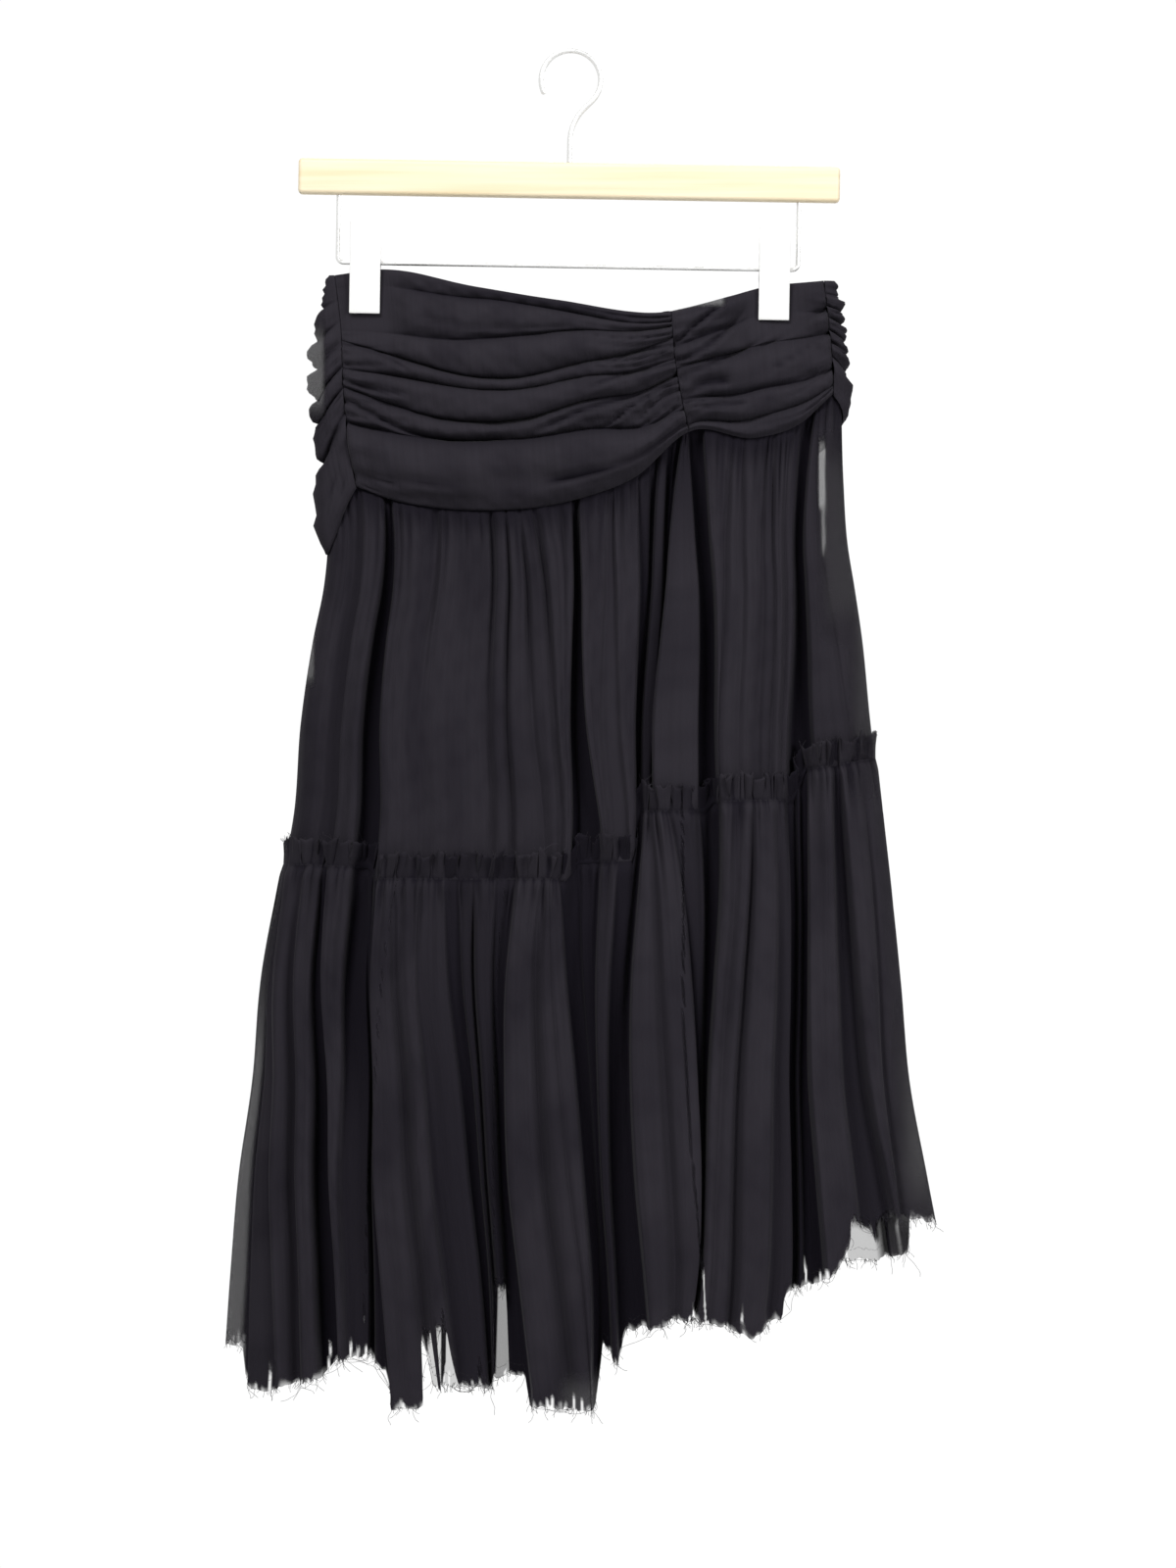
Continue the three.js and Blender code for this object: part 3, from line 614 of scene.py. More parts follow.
# ---------------------------------------------------------------- sheets of cloth
def grid_object(name, points, flat, amounts):
    """A mesh of quads over a grid of points, whose rows run down and columns right, seen from outside.

    flat holds each point's place in the flat cloth, and amounts the named values from 0 to 1 at each.
    """
    rows, columns = points.shape[:2]
    number = np.arange(rows * columns).reshape(rows, columns)
    corners = (number[:-1, :-1], number[1:, :-1], number[1:, 1:], number[:-1, 1:])
    quads = np.stack(corners, axis=-1).reshape(-1, 4)
    mesh = bpy.data.meshes.new(name)
    mesh.vertices.add(rows * columns)
    mesh.vertices.foreach_set("co", (points * MM).reshape(-1).astype(np.float32))
    mesh.loops.add(quads.size)
    mesh.loops.foreach_set("vertex_index", quads.reshape(-1).astype(np.int32))
    mesh.polygons.add(len(quads))
    mesh.polygons.foreach_set("loop_start", np.arange(0, quads.size, 4, dtype=np.int32))
    mesh.polygons.foreach_set("use_smooth", np.ones(len(quads), bool))
    mesh.update(calc_edges=True)
    places = (flat.reshape(-1, 2)[quads.reshape(-1)] * MM).reshape(-1)
    mesh.uv_layers.new(name="flat_cloth").data.foreach_set("uv", places.astype(np.float32))
    for title, amount in amounts.items():
        layer = mesh.attributes.new(title, "FLOAT", "POINT")
        layer.data.foreach_set("value", np.clip(amount, 0, 1).reshape(-1).astype(np.float32))
    piece = bpy.data.objects.new(name, mesh)
    bpy.context.collection.objects.link(piece)
    return piece


def only(piece):
    """Selects one piece, and makes it the active one."""
    bpy.ops.object.select_all(action="DESELECT")
    bpy.context.view_layer.objects.active = piece
    piece.select_set(True)


def apply_modifiers(piece):
    only(piece)
    for modifier in list(piece.modifiers):
        bpy.ops.object.modifier_apply(modifier=modifier.name)


def flat_places(points):
    """Each point's place in the flat cloth, whose grain runs down the columns."""
    along = np.linalg.norm(np.diff(points, axis=1), axis=-1).mean(axis=0)
    down = np.linalg.norm(np.diff(points, axis=0), axis=-1).mean(axis=1)
    u = np.concatenate([[0], np.cumsum(along)]) - along.sum() / 2
    v = -np.concatenate([[0], np.cumsum(down)])
    return np.stack(np.meshgrid(u, v), axis=-1)


def cloth_piece(name, points, passed, shade, material, behind=False):
    """One sheet of cloth from its grid, made thick, in place of the model's part of its name. Its columns
    run right to left if it lies behind."""
    flat = flat_places(points)
    if behind:
        points, passed, shade, flat = (grid[:, ::-1] for grid in (points, passed, shade, flat))
    piece = grid_object(name, points, flat, {"passed": passed, "painted_shade": shade})
    piece.data.materials.append(material)
    wall = piece.modifiers.new("cloth", "SOLIDIFY")
    wall.thickness = CLOTH_THICK * MM
    wall.offset = -1
    apply_modifiers(piece)
    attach(piece, "root")
    node = name.removesuffix("_cloth")
    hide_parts(node)
    return piece


def strands(name, lines, thread):
    """Thin round threads in one piece, each along its own line of points."""
    corners, faces = [], []
    ring = [ALL_ROUND * k / THREAD_SIDES for k in range(THREAD_SIDES)]
    for line in lines:
        way = np.gradient(line, axis=0)
        way /= np.linalg.norm(way, axis=1, keepdims=True)
        side = np.cross(way, (0.31, 0.93, 0.19))
        side /= np.linalg.norm(side, axis=1, keepdims=True)
        other = np.cross(way, side)
        first = len(corners)
        for k in range(len(line)):
            for angle in ring:
                out = math.cos(angle) * side[k] + math.sin(angle) * other[k]
                corners.append(line[k] + THREAD_RADIUS * out)
        for k in range(len(line) - 1):
            for i in range(THREAD_SIDES):
                a, b = first + k * THREAD_SIDES + i, first + k * THREAD_SIDES + (i + 1) % THREAD_SIDES
                faces.append((a, b, b + THREAD_SIDES, a + THREAD_SIDES))
        faces.append([first + i for i in reversed(range(THREAD_SIDES))])
        faces.append([first + (len(line) - 1) * THREAD_SIDES + i for i in range(THREAD_SIDES)])
    mesh = bpy.data.meshes.new(name)
    mesh.from_pydata([tuple(corner * MM) for corner in corners], [], faces)
    piece = bpy.data.objects.new(name, mesh)
    bpy.context.collection.objects.link(piece)
    mesh.materials.append(thread)
    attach(piece, "root")
    return piece


def dashes(line, lift):
    """The stitches of a seam along a line of points, lifted off the cloth by a vector."""
    steps = np.linalg.norm(np.diff(line, axis=0), axis=1)
    way = np.concatenate([[0], np.cumsum(steps)])
    made = []
    for start in np.arange(1, way[-1] - STITCH, STITCH + STITCH_GAP):
        at = start + STITCH * np.array([0, 0.5, 1])
        made.append(np.stack([np.interp(at, way, line[:, k]) for k in range(3)], axis=1) + lift)
    return made


def loose_ends(edge, down, count, usual, seed):
    """Threads that hang or stand out from a raw edge: down is -1 for a hem and 1 for a heading."""
    draw = np.random.default_rng(seed)
    made = []
    for _ in range(count):
        at = edge[draw.integers(2, len(edge) - 2)]
        length = min(usual * (0.35 + draw.exponential(0.8)), usual * 5)
        steps = 4 + int(length > 2 * usual) * 4
        way = np.array([draw.normal(0, 0.45), draw.normal(0, 0.2), down])
        line = [at - 0.8 * np.array([0, 0, down])]
        for _ in range(steps):
            way = way / np.linalg.norm(way)
            line.append(line[-1] + way * length / steps)
            way = way + draw.normal(0, 0.3, 3) * (1, 0.6, 0.6)
        made.append(np.array(line))
    return made


def drawn_threads(edge, count, seed):
    """Threads of the weave that have come out of the hem and run along under it."""
    draw = np.random.default_rng(seed)
    made = []
    for _ in range(count):
        start = draw.integers(2, len(edge) - 30)
        run = edge[start : start + draw.integers(8, 26)].copy()
        level = np.linspace(run[0, 2], run[-1, 2], len(run))
        sag = draw.uniform(0.5, 4) * np.sin(np.pi * np.linspace(0, 1, len(run)))
        run[:, 2] = np.minimum(run[:, 2] - 0.4, level - sag)
        run[:, 2] = np.convolve(np.pad(run[:, 2], 2, mode="edge"), np.ones(5) / 5, mode="valid")
        made.append(run)
    return made


# ---------------------------------------------------------------- the yoke
def crease_rows(ruches, across):
    """The height share of each main crease across the panel, as rows."""
    places = np.linspace(0, 1, 5)
    shares = np.stack([ruches[k] for k in ("start", "early", "middle", "late", "end")], axis=1)
    return np.array([eased({"at": places, "share": share}, across, "share") for share in shares])


def ruching(ruches, across, steps):
    """Rows down a ruched panel: the height share, how far it stands out, its droop and its painted shade.

    The cloth below a crease swells out slowly and turns in quickly at the next, over which it droops.
    """
    creases = crease_rows(ruches, across)
    shares, heights, droops, shades = [], [], [], []
    for i in range(len(creases) - 1):
        last = i == len(creases) - 2
        for step in range(steps[i] + 1 if last else steps[i]):
            way = step / steps[i]
            t = mix(way, 0.5 - 0.5 * math.cos(math.pi * way), 0.6)
            shares.append(mix(creases[i], creases[i + 1], t))
            swell = ruches["swell"][i] * math.sin(math.pi * t**0.72) ** 0.9
            deep = ruches["deep"][i] * (1 - t) ** 3 + ruches["deep"][i + 1] * t**4
            heights.append(np.full_like(across, RUCHED_MORE * swell - 1.3 * deep))
            droop = 0 if last or i == 0 else math.sin(math.pi * t**2.4)
            droops.append(np.full_like(across, droop * ruches["deep"][i + 1]))
            # Painted shade: darker near each crease and towards the foot of each roll, where light from
            # above falls less, and a painted shadow band below the waist's edge in the first roll.
            near = 0.5 * ruches["deep"][i] * (1 - t) ** 8
            near = near + 0.5 * ruches["deep"][i + 1] * t**7 + 0.3 * t**2.5
            top_roll_shade = 0.75 * math.sin(math.pi * min(1, 1.2 * t)) * ease(across, 0.2, 0.5) if i == 0 else 0
            shades.append(np.full_like(across, min(1, near)) + top_roll_shade)
    return (np.array(part) for part in (shares, heights, droops, shades))


def short_creases(creases, across, down, span):
    """How far the short creases sink each point of a panel that is span high."""
    sunk = np.zeros_like(down)
    for a1, d1, a2, d2, a3, d3, deep, half in zip(*creases.values()):
        line = eased({"at": np.array([a1, a2, a3]), "down": np.array([d1, d2, d3])}, across, "down")
        off = (down - line) * span / half
        fade = 0.22 * (a3 - a1)
        ends = ease(across, a1 - 0.02, a1 + fade) * ease(across, a3 + 0.02, a3 - fade)
        open_end = np.where(a1 <= 0.03, ease(across, a3 + 0.02, a3 - fade), ends)
        open_end = np.where(a3 >= 0.99, ease(across, a1 - 0.02, a1 + fade), open_end)
        valley = np.exp(-np.abs(off) ** 1.6) - 0.35 * np.exp(-(((off - 1.9) / 1.1) ** 2))
        sunk = sunk + deep * valley * open_end
    return sunk


def seam_puckers(from_seam, along_seam, seed, pitch, height, reach):
    """Short puckers square to a seam, which pinches their ends."""
    size = height * np.exp(-((from_seam / reach) ** 1.3)) * (1 - 0.75 * np.exp(-((from_seam / 2.2) ** 2)))
    uneven = 0.8 + 0.35 * wander(along_seam, seed + 3, pitch * 4)
    return size * uneven * puckers(along_seam + 0.05 * from_seam, seed, pitch)


def ruched_panel(ruches, creases, columns, steps, edges, turn_of, seams, seed):
    """The points of a ruched panel. edges gives its waist and foot heights across it, and turn_of the
    turn at a height there. seams holds the pucker height and reach at its start and at its end."""
    across = 0.5 - 0.5 * np.cos(np.linspace(0, np.pi, columns))
    across = mix(np.linspace(0, 1, columns), across, 0.35)
    waist, foot = edges(across)
    down, height, droop, shade = ruching(ruches, across, steps)
    span = waist - foot
    z = waist - span * down - 1.3 * droop * np.sin(np.pi * across) ** 0.5
    turn = turn_of(z, across + np.zeros_like(z))
    x, y = plain(z, turn)
    along = np.sqrt(np.diff(x, axis=1) ** 2 + np.diff(y, axis=1) ** 2)
    way = np.concatenate([np.zeros((len(x), 1)), np.cumsum(along, axis=1)], axis=1)
    gathered = 0.3 + 0.7 * np.sin(np.pi * across) ** 0.5
    uneven = 1 + 0.22 * patches(way, down * span.mean() * 1.6, seed + 20, 90, 50)
    height = height * gathered * uneven
    if creases:
        sunk = short_creases(creases, across, down, span)
        height = height - 2.4 * sunk
        # Painted shade in the short creases.
        shade = np.maximum(shade, 0.55 * sunk)
    below = down * span
    middle = span.mean()
    (start_height, start_reach), (end_height, end_reach) = seams
    started = seam_puckers(way, down * middle, seed, 7.4, start_height, start_reach)
    ended = seam_puckers(way[:, -1:] - way, down * middle, seed + 5, 7.8, end_height, end_reach)
    height = height + started + ended
    # Painted shade in the valleys of the seam puckers.
    shade = np.maximum(shade, 0.3 * np.maximum(0, -started - ended))
    height = height + 0.6 * patches(way, below * 2.4, seed + 9, 46, 30)
    height = height + 0.26 * patches(way, below * 3.2, seed + 10, 17, 14)
    # Painted shade in soft random patches.
    shade = np.maximum(shade, shade_patches(way, below * 1.5, seed + 30))
    edge = ease(np.minimum(down, 1 - down) * span, 0, 3)
    height = np.where(height > 0, height * mix(0.25, 1, edge), height)
    points = stand_off(z, turn, YOKE_STAND + height * clip_free(x, z))
    return points, light_passed(points), shade * gathered * clip_free(x, z)


def front_panel(ruches, creases, columns, steps, start_seam, end_seam, seams, seed):
    inset = SEAM_GAP / 2

    def turn_of(z, across):
        start = eased(start_seam, z, "x") + inset
        end = eased(end_seam, z, "x") - inset
        return -turn_at(z, mix(start, end, across))

    def edges(across):
        waist = eased(WAIST, mix(start_seam["x"][-1], end_seam["x"][-1], across), "z")
        foot = eased(YOKE_FOOT, mix(start_seam["x"][0], end_seam["x"][0], across), "z")
        return waist, foot

    return ruched_panel(ruches, creases, columns, steps, edges, turn_of, seams, seed)


def back_span(z):
    """The back's turn at its left seam and at its right one."""
    inset = SEAM_GAP / 2
    start = -turn_at(z, eased(LEFT_SEAM, z, "x") - inset)
    return start, ALL_ROUND - turn_at(z, eased(RIGHT_SEAM, z, "x") + inset)


def back_panel(columns, steps, seams, seed):
    def turn_of(z, across):
        return mix(*back_span(z), across)

    def edges(across):
        top = np.full_like(across, LEFT_SEAM["z"][-1])
        x, _ = plain(top, turn_of(top, across))
        return eased(WAIST, x, "z"), eased(BACK_FOOT, across, "z")

    return ruched_panel(RUCHES_BACK, None, columns, steps, edges, turn_of, seams, seed)


# ---------------------------------------------------------------- the tiers
def spread_folds(count):
    """Evenly spread valleys with an uneven rhythm, for a side that hangs freely."""
    i = np.arange(1, count)
    top = (i + 0.28 * np.sin(2.4 * i)) / count
    foot = (i + 0.3 * np.sin(2.4 * i + 1.1)) / count
    middle = (top + foot) / 2 + 0.006 * np.sin(3.1 * i)
    deep = 1.2 + 0.5 * np.sin(1.7 * i)
    half = 1.6 + 3.2 * np.maximum(0, deep - 0.9)
    level = np.ones(count - 1)
    rows = np.stack([top, middle, foot, level, level, 2 * level, deep, deep, half], axis=1)
    small = (rows[:-1] + rows[1:]) / 2
    small[:, 6:] = (0.45, 0.45, 1.7)
    wide = np.diff(rows[:, 0]) > 0.9 / count
    ends = [[[end, end, end, 1, 1, 2, 0, 0, 2]] for end in (0, 1)]
    rows = np.concatenate([ends[0], rows, small[wide], ends[1]])
    return fold_table(*rows[np.argsort(rows[:, 1])])


def valley_at(folds, index, share):
    """The place of a valley at a share of the way down, on a curve through its three places."""
    top = folds["top"][index] * (1 - share) * (1 - 2 * share)
    middle = folds["middle"][index] * 4 * share * (1 - share)
    foot = folds["foot"][index] * share * (2 * share - 1)
    return top + middle + foot


def fold_columns(folds, total):
    """Which fold each column of a grid lies in, and how far across it. Valleys get more of them."""
    gaps = np.max([np.diff(folds[level]) for level in ("top", "middle", "foot")], axis=0) + 0.012
    counts = np.maximum(6, np.round(gaps / gaps.sum() * total)).astype(int)
    fold, way = [], []
    for i, count in enumerate(counts):
        steps = np.arange(count) / count
        way.append(mix(steps, 0.5 - 0.5 * np.cos(np.pi * steps), 0.55))
        fold.append(np.full(count, i))
    return np.append(np.concatenate(fold), len(gaps) - 1), np.append(np.concatenate(way), 1.0)


def across_folds(values, fold, way):
    """One value for each fold, run smoothly from each fold into the next."""
    before = (values[np.maximum(fold - 1, 0)] + values[fold]) / 2
    after = (values[fold] + values[np.minimum(fold + 1, len(values) - 1)]) / 2
    return before * (1 - way) ** 2 + 2 * values[fold] * way * (1 - way) + after * way**2


def fold_form(folds, fold, way, share, width, seed):
    """The place of each point and the fold's shape there: stands is 0 for the cloth furthest in and 1
    for a fold in front, ridge the same with its valleys, sunk is how far a deep valley goes in, dim the
    painted shade near one, and lean how far the ridge leans over."""
    draw = np.random.default_rng(seed)
    count = len(folds["top"]) - 1
    tilt = across_folds(draw.uniform(-0.14, 0.14, count), fold, way)
    tall = across_folds(draw.uniform(0.88, 1.1, count), fold, way)
    lean = across_folds(draw.uniform(-0.16, 0.16, count), fold, way)
    place = mix(valley_at(folds, fold, share), valley_at(folds, fold + 1, share), way)
    opened = mix(0.4, 1.0, np.clip(share, 0, 1) ** 0.7)
    lower = ease(share, 0.02, 0.6)
    stands, ridge, sunk = mix(folds["stands"][0], folds["low_stands"][0], lower), 1.0, 0.0
    dim = 0.0
    for edge in range(count + 1):
        off = (place - valley_at(folds, edge, share)) * width
        if edge:
            sides = ((folds["stands"][i], folds["low_stands"][i]) for i in (edge - 1, edge))
            before, after = (mix(high, low, lower) for high, low in sides)
            soft = np.maximum(2.0, folds["soft"][edge]) * opened**0.4
            stands = stands + (after - before) * ease(off, -soft / 2, soft / 2)
        deep = mix(folds["deep"][edge], folds["low_deep"][edge], lower)
        away = np.abs(off) / (folds["half"][edge] * opened)
        dip = 1.0 if edge in (0, count) else np.minimum(1.0, 0.72 * deep)
        ridge = ridge * (1 - dip * np.exp(-((away / 1.45) ** 1.8)))
        sunk = np.maximum(sunk, deep**1.5 * np.exp(-((away / 1.25) ** 2.6)))
        # Painted shade near each valley.
        dim = np.maximum(dim, 0.62 * np.minimum(1, deep) * np.exp(-((away / 2.8) ** 1.4)))
    stands = np.clip(stands, 0, 1)
    dome = 1 - 0.16 * (2 * way - 1) ** 2 + tilt * np.sin(ALL_ROUND * way)
    return place, stands, ridge * stands * dome * tall, sunk, dim, lean


def shade_patches(along, down, seed):
    """Soft darker patches at random places: painted shade for cloth that lies further in, with more of it
    behind.
    """
    broad = ease(patches(along, down, seed, 52, 130), -0.5, 1.0)
    small = ease(patches(along, down * 2, seed + 1, 19, 40), -0.2, 1)
    return 0.3 * broad + 0.12 * small


def in_cells(at, seed, pitch):
    """A random number from 0 to 1 for each cell of a pitch's length."""
    draw = np.random.default_rng(seed).random(4096)
    return draw[np.floor(at / pitch).astype(int) % 4096]


def tier_points(side, folds, levels, gathers, total, header, count, lines, under, meets, seed):
    """The points of a gathered tier, with their places across it, their painted shade and how far above
    its hem they lie.

    lines are the heights of its top, of where its folds end, and of its hem, at a place. under is the
    relief of the cloth that its top is sewn to, and meets the relief along which the next tier is sewn
    to it. Either is None where there is no such seam.
    """
    top_line, end_line, hem_line = lines
    fold, way = fold_columns(folds, total)
    top_place = mix(folds["top"][fold], folds["top"][fold + 1], way)
    foot_place = mix(folds["foot"][fold], folds["foot"][fold + 1], way)
    carrier = top_place * GATHERED_ALONG
    top = top_line(top_place)
    hem = hem_line(foot_place, carrier)
    first, last = top + header[-1], hem + HEM_ROWS[0]
    z = np.concatenate([
        top + np.array(header, float)[:, None],
        (first + (last - first) * np.linspace(0, 1, count)[:, None] ** 1.06)[1:-1],
        hem + np.array(HEM_ROWS, float)[:, None],
    ])
    share = (top - z) / (top - end_line(foot_place))
    level = np.where(share > 0, share, (top - z) / 100)
    crest, sink, stand, follow = (read(levels, level, k) for k in ("crest", "sink", "stand", "follow"))
    width = eased(SILHOUETTE, z, "right") - eased(SILHOUETTE, z, "left")
    held = np.clip(share, 0, 1)
    place, stands, ridge, sunk, dim, lean = fold_form(folds, fold, way, held, width, seed)
    further_in = 1 - stands
    below = np.maximum(0, top - z)
    above = np.maximum(0, z - top)
    # The whole side sways a little, and its ridges lean over their valleys by uneven amounts.
    inside = ease(np.minimum(place, 1 - place), 0, 0.03)
    sway = 0.6 * patches(carrier, below, seed + 2, 150, 300) * ease(below, 0, 60)
    leaning = lean * crest * ridge * ease(place, 0, 0.1) * ease(place, 1, 0.9)
    moved = place + inside * (sway + leaning) / width
    fades_in = ease(share, -0.1, 0.12)
    hollow = np.maximum(sunk, further_in)
    height = crest * ridge - SUNK_MORE * sink * hollow - BAND_DEPTH * fades_in * further_in**1.3
    height = height * mix(0.35, 1, ease(np.minimum(place, 1 - place), 0, 0.06))
    # Fine gathers that the seam makes, each size of them fading further down.
    fine, pinch_shade = 0, 0
    for number, (pitch, tall, reach) in enumerate(gathers):
        fade = np.exp(-((below / reach) ** 1.2)) * mix(0.1, 1, ease(below, 0, 7))
        uneven = carrier + 0.03 * below + 0.5 * pitch * wander(carrier, seed + 17 + number, 3.3 * pitch)
        ruck = puckers(uneven, seed + 3 + number, pitch)
        fine = fine + tall * fade * ruck
        # Painted shade in the pinches of the gathers near the seam.
        near_seam = np.exp(-((below / (0.8 * reach)) ** 1.5))
        pinch_shade = np.maximum(pinch_shade, 0.85 * near_seam * ease(-ruck, -0.3, 0.5))
    grown = ease(below, 15, 120)
    fine = fine + 0.14 * grown * patches(carrier, below, seed + 8, 17, 120)
    fine = fine + 0.5 * grown * patches(carrier, below, seed + 9, 34, 400)
    fine = fine + 1.2 * grown * patches(carrier, below, seed + 14, 75, 500)
    fine = fine + 0.16 * patches(carrier, below * 2, seed + 10, 13, 60)
    # The raw edge above the seam flutters.
    flutter = (above / HEADING) ** 0.7
    wave = puckers(carrier + 7 * wander(carrier, seed + 16, 29), seed + 4, 9.4)
    swing = 1 + 0.5 * wander(carrier, seed + 15, 31)
    fine = fine * (1 - 0.6 * flutter) + flutter * 4.6 * wave * swing
    moved = moved + inside * flutter * 3.6 * wander(carrier, seed + 11, 11) / width
    # Painted shade in the slits between the heading's lobes.
    pinch_shade = np.where(above > 0, 0.08 + 0.85 * ease(-wave, -0.3, 0.5), pinch_shade)
    distance = stand + height + inside * fine
    if under is not None:
        distance = distance + follow * under(moved)
    if meets is not None:
        meeting = meets(moved) + SEAM_STAND - ALLOWANCE_IN * ease(share, 1, 1.02)
        distance = mix(distance, meeting, ease(share, 0.97, 1))
    ragged = 2.6 * wander(carrier, seed + 12, 19) + 1.6 * wander(carrier, seed + 13, 4.4)
    ragged = ragged + 3.0 * np.minimum(wave, 0.3)
    z = z + flutter * ragged
    turn = side * np.arccos(np.clip(1 - 2 * moved, -1, 1))
    _, plain_y = plain(z, turn)
    points = stand_off(z, turn, np.maximum(distance, 0))
    points[..., 1] += side * np.clip(distance, -0.65 * np.abs(plain_y), 0)
    points[..., 1] = side * np.maximum(side * points[..., 1], SEAM_GAP / 3)
    # Painted shade: it is coloured darker in its valleys, where it lies further in, in the pinches of its
    # seam and along the seam line, in random patches and towards its left side.
    shade = np.maximum(ease(further_in, 0, 0.78), dim * ease(share, -0.01, 0.03))
    shade = np.maximum(shade, pinch_shade + 0.5 * np.exp(-(((top - z) / 1.8) ** 2)))
    shade = np.maximum(shade, shade_patches(carrier, below, seed + 30) + 0.17 * ease(place, 0.8, 0.3))
    return points, place, shade, z - hem


def seam_height(folds, seed):
    """How far the upper tier stands off the plain section where the lower one is sewn to it."""
    fold, way = fold_columns(folds, RELIEF_COLUMNS)
    share = np.ones((1, len(fold)))
    place, stands, ridge, sunk, _, _ = fold_form(folds, fold, way, share, SEAM_WIDTH, seed)
    further_in = 1 - stands
    crest, sink, stand = (read(UPPER_LEVELS, 1.0, k) for k in ("crest", "sink", "stand"))
    hollow = np.maximum(sunk, further_in)
    height = crest * ridge - SUNK_MORE * sink * hollow - BAND_DEPTH * further_in**1.3
    height = height * mix(0.35, 1, ease(np.minimum(place, 1 - place), 0, 0.06))
    even = np.linspace(0, 1, SEAM_WIDTH)
    height = np.interp(even, place[0], stand + height[0])
    smooth = np.hanning(17) / np.hanning(17).sum()
    height = np.convolve(np.pad(height, 8, mode="edge"), smooth, mode="valid")
    return lambda at: np.interp(at, even, height)


# ---------------------------------------------------------------- camera, light and floor
def make_camera():
    bpy.ops.object.camera_add(location=CAMERA_AT, rotation=(math.pi / 2, 0, 0))
    camera = bpy.context.object
    camera.name = "camera"
    camera.data.sensor_width = SENSOR
    camera.data.lens = SENSOR / 2 * CAMERA_AWAY / VIEW_HALF_HEIGHT
    bpy.context.scene.camera = camera
    bpy.context.scene.view_settings.view_transform = "Standard"


def make_lights():
    """A studio whose backdrop is white to the camera and in what shines, and large soft lamps."""
    world = bpy.data.worlds.new("studio")
    bpy.context.scene.world = world
    world.use_nodes = True
    nodes, links = world.node_tree.nodes, world.node_tree.links
    background = nodes["Background"]
    path = nodes.new("ShaderNodeLightPath")
    seen = nodes.new("ShaderNodeMath")
    seen.operation = "MAXIMUM"
    links.new(path.outputs["Is Camera Ray"], seen.inputs[0])
    links.new(path.outputs["Is Glossy Ray"], seen.inputs[1])
    strength = nodes.new("ShaderNodeMapRange")
    strength.inputs["To Min"].default_value = WORLD_LIGHT
    strength.inputs["To Max"].default_value = BACKDROP_LIGHT
    links.new(seen.outputs["Value"], strength.inputs["Value"])
    links.new(strength.outputs["Result"], background.inputs["Strength"])
    background.inputs["Color"].default_value = (1, 1, 1, 1)
    for name, lamp in LAMPS.items():
        place = Vector(lamp["at"])
        turn = (LAMPS_AIM - place).to_track_quat("-Z", "Y").to_euler()
        bpy.ops.object.light_add(type="AREA", location=place, rotation=turn)
        light = bpy.context.object
        light.name = name
        light.data.energy = lamp["watts"]
        light.data.size = lamp["size"]


def make_floor():
    height = CAD_BOX[0][2] - FLOOR_BELOW
    bpy.ops.mesh.primitive_circle_add(
        vertices=96, radius=FLOOR_RADIUS, fill_type="NGON", location=(0, 0, height)
    )
    floor = bpy.context.object
    floor.name = "floor"
    floor.data.materials.append(plain_material("floor_paint", FLOOR_PAINT, 0.9))


# ---------------------------------------------------------------- materials
def new_material(name):
    material = bpy.data.materials.new(name)
    material.use_nodes = True
    nodes = material.node_tree.nodes
    return material, nodes, material.node_tree.links, nodes["Principled BSDF"]


def plain_material(name, colour, roughness, specular=0.5):
    material, _, _, shader = new_material(name)
    shader.inputs["Base Color"].default_value = (*colour, 1)
    shader.inputs["Roughness"].default_value = roughness
    shader.inputs["Specular IOR Level"].default_value = specular
    return material


def noise_between(nodes, links, vector, scales, scale, ends, detail=3.0):
    """Noise over scaled coordinates, turned into a value between two ends."""
    stretch = nodes.new("ShaderNodeMapping")
    stretch.inputs["Scale"].default_value = scales
    links.new(vector, stretch.inputs["Vector"])
    noise = nodes.new("ShaderNodeTexNoise")
    noise.inputs["Scale"].default_value = scale
    noise.inputs["Detail"].default_value = detail
    links.new(stretch.outputs["Vector"], noise.inputs["Vector"])
    spread = nodes.new("ShaderNodeMapRange")
    spread.inputs["From Min"].default_value = 0.3
    spread.inputs["From Max"].default_value = 0.7
    spread.inputs["To Min"].default_value, spread.inputs["To Max"].default_value = ends
    links.new(noise.outputs["Fac"], spread.inputs["Value"])
    return spread.outputs["Result"]


def bump_from(nodes, links, height, distance, strength, before=None):
    bump = nodes.new("ShaderNodeBump")
    bump.inputs["Distance"].default_value = distance
    bump.inputs["Strength"].default_value = strength
    links.new(height, bump.inputs["Height"])
    if before is not None:
        links.new(before, bump.inputs["Normal"])
    return bump.outputs["Normal"]


def blend(nodes, links, share, *colours):
    """A colour between two, each given as red, green and blue or as the socket that it comes from."""
    mixer = nodes.new("ShaderNodeMix")
    mixer.data_type = "RGBA"
    links.new(share, mixer.inputs[0])
    for socket, colour in zip((mixer.inputs[6], mixer.inputs[7]), colours):
        if isinstance(colour, tuple):
            socket.default_value = (*colour, 1)
        else:
            links.new(colour, socket)
    return mixer.outputs[2]


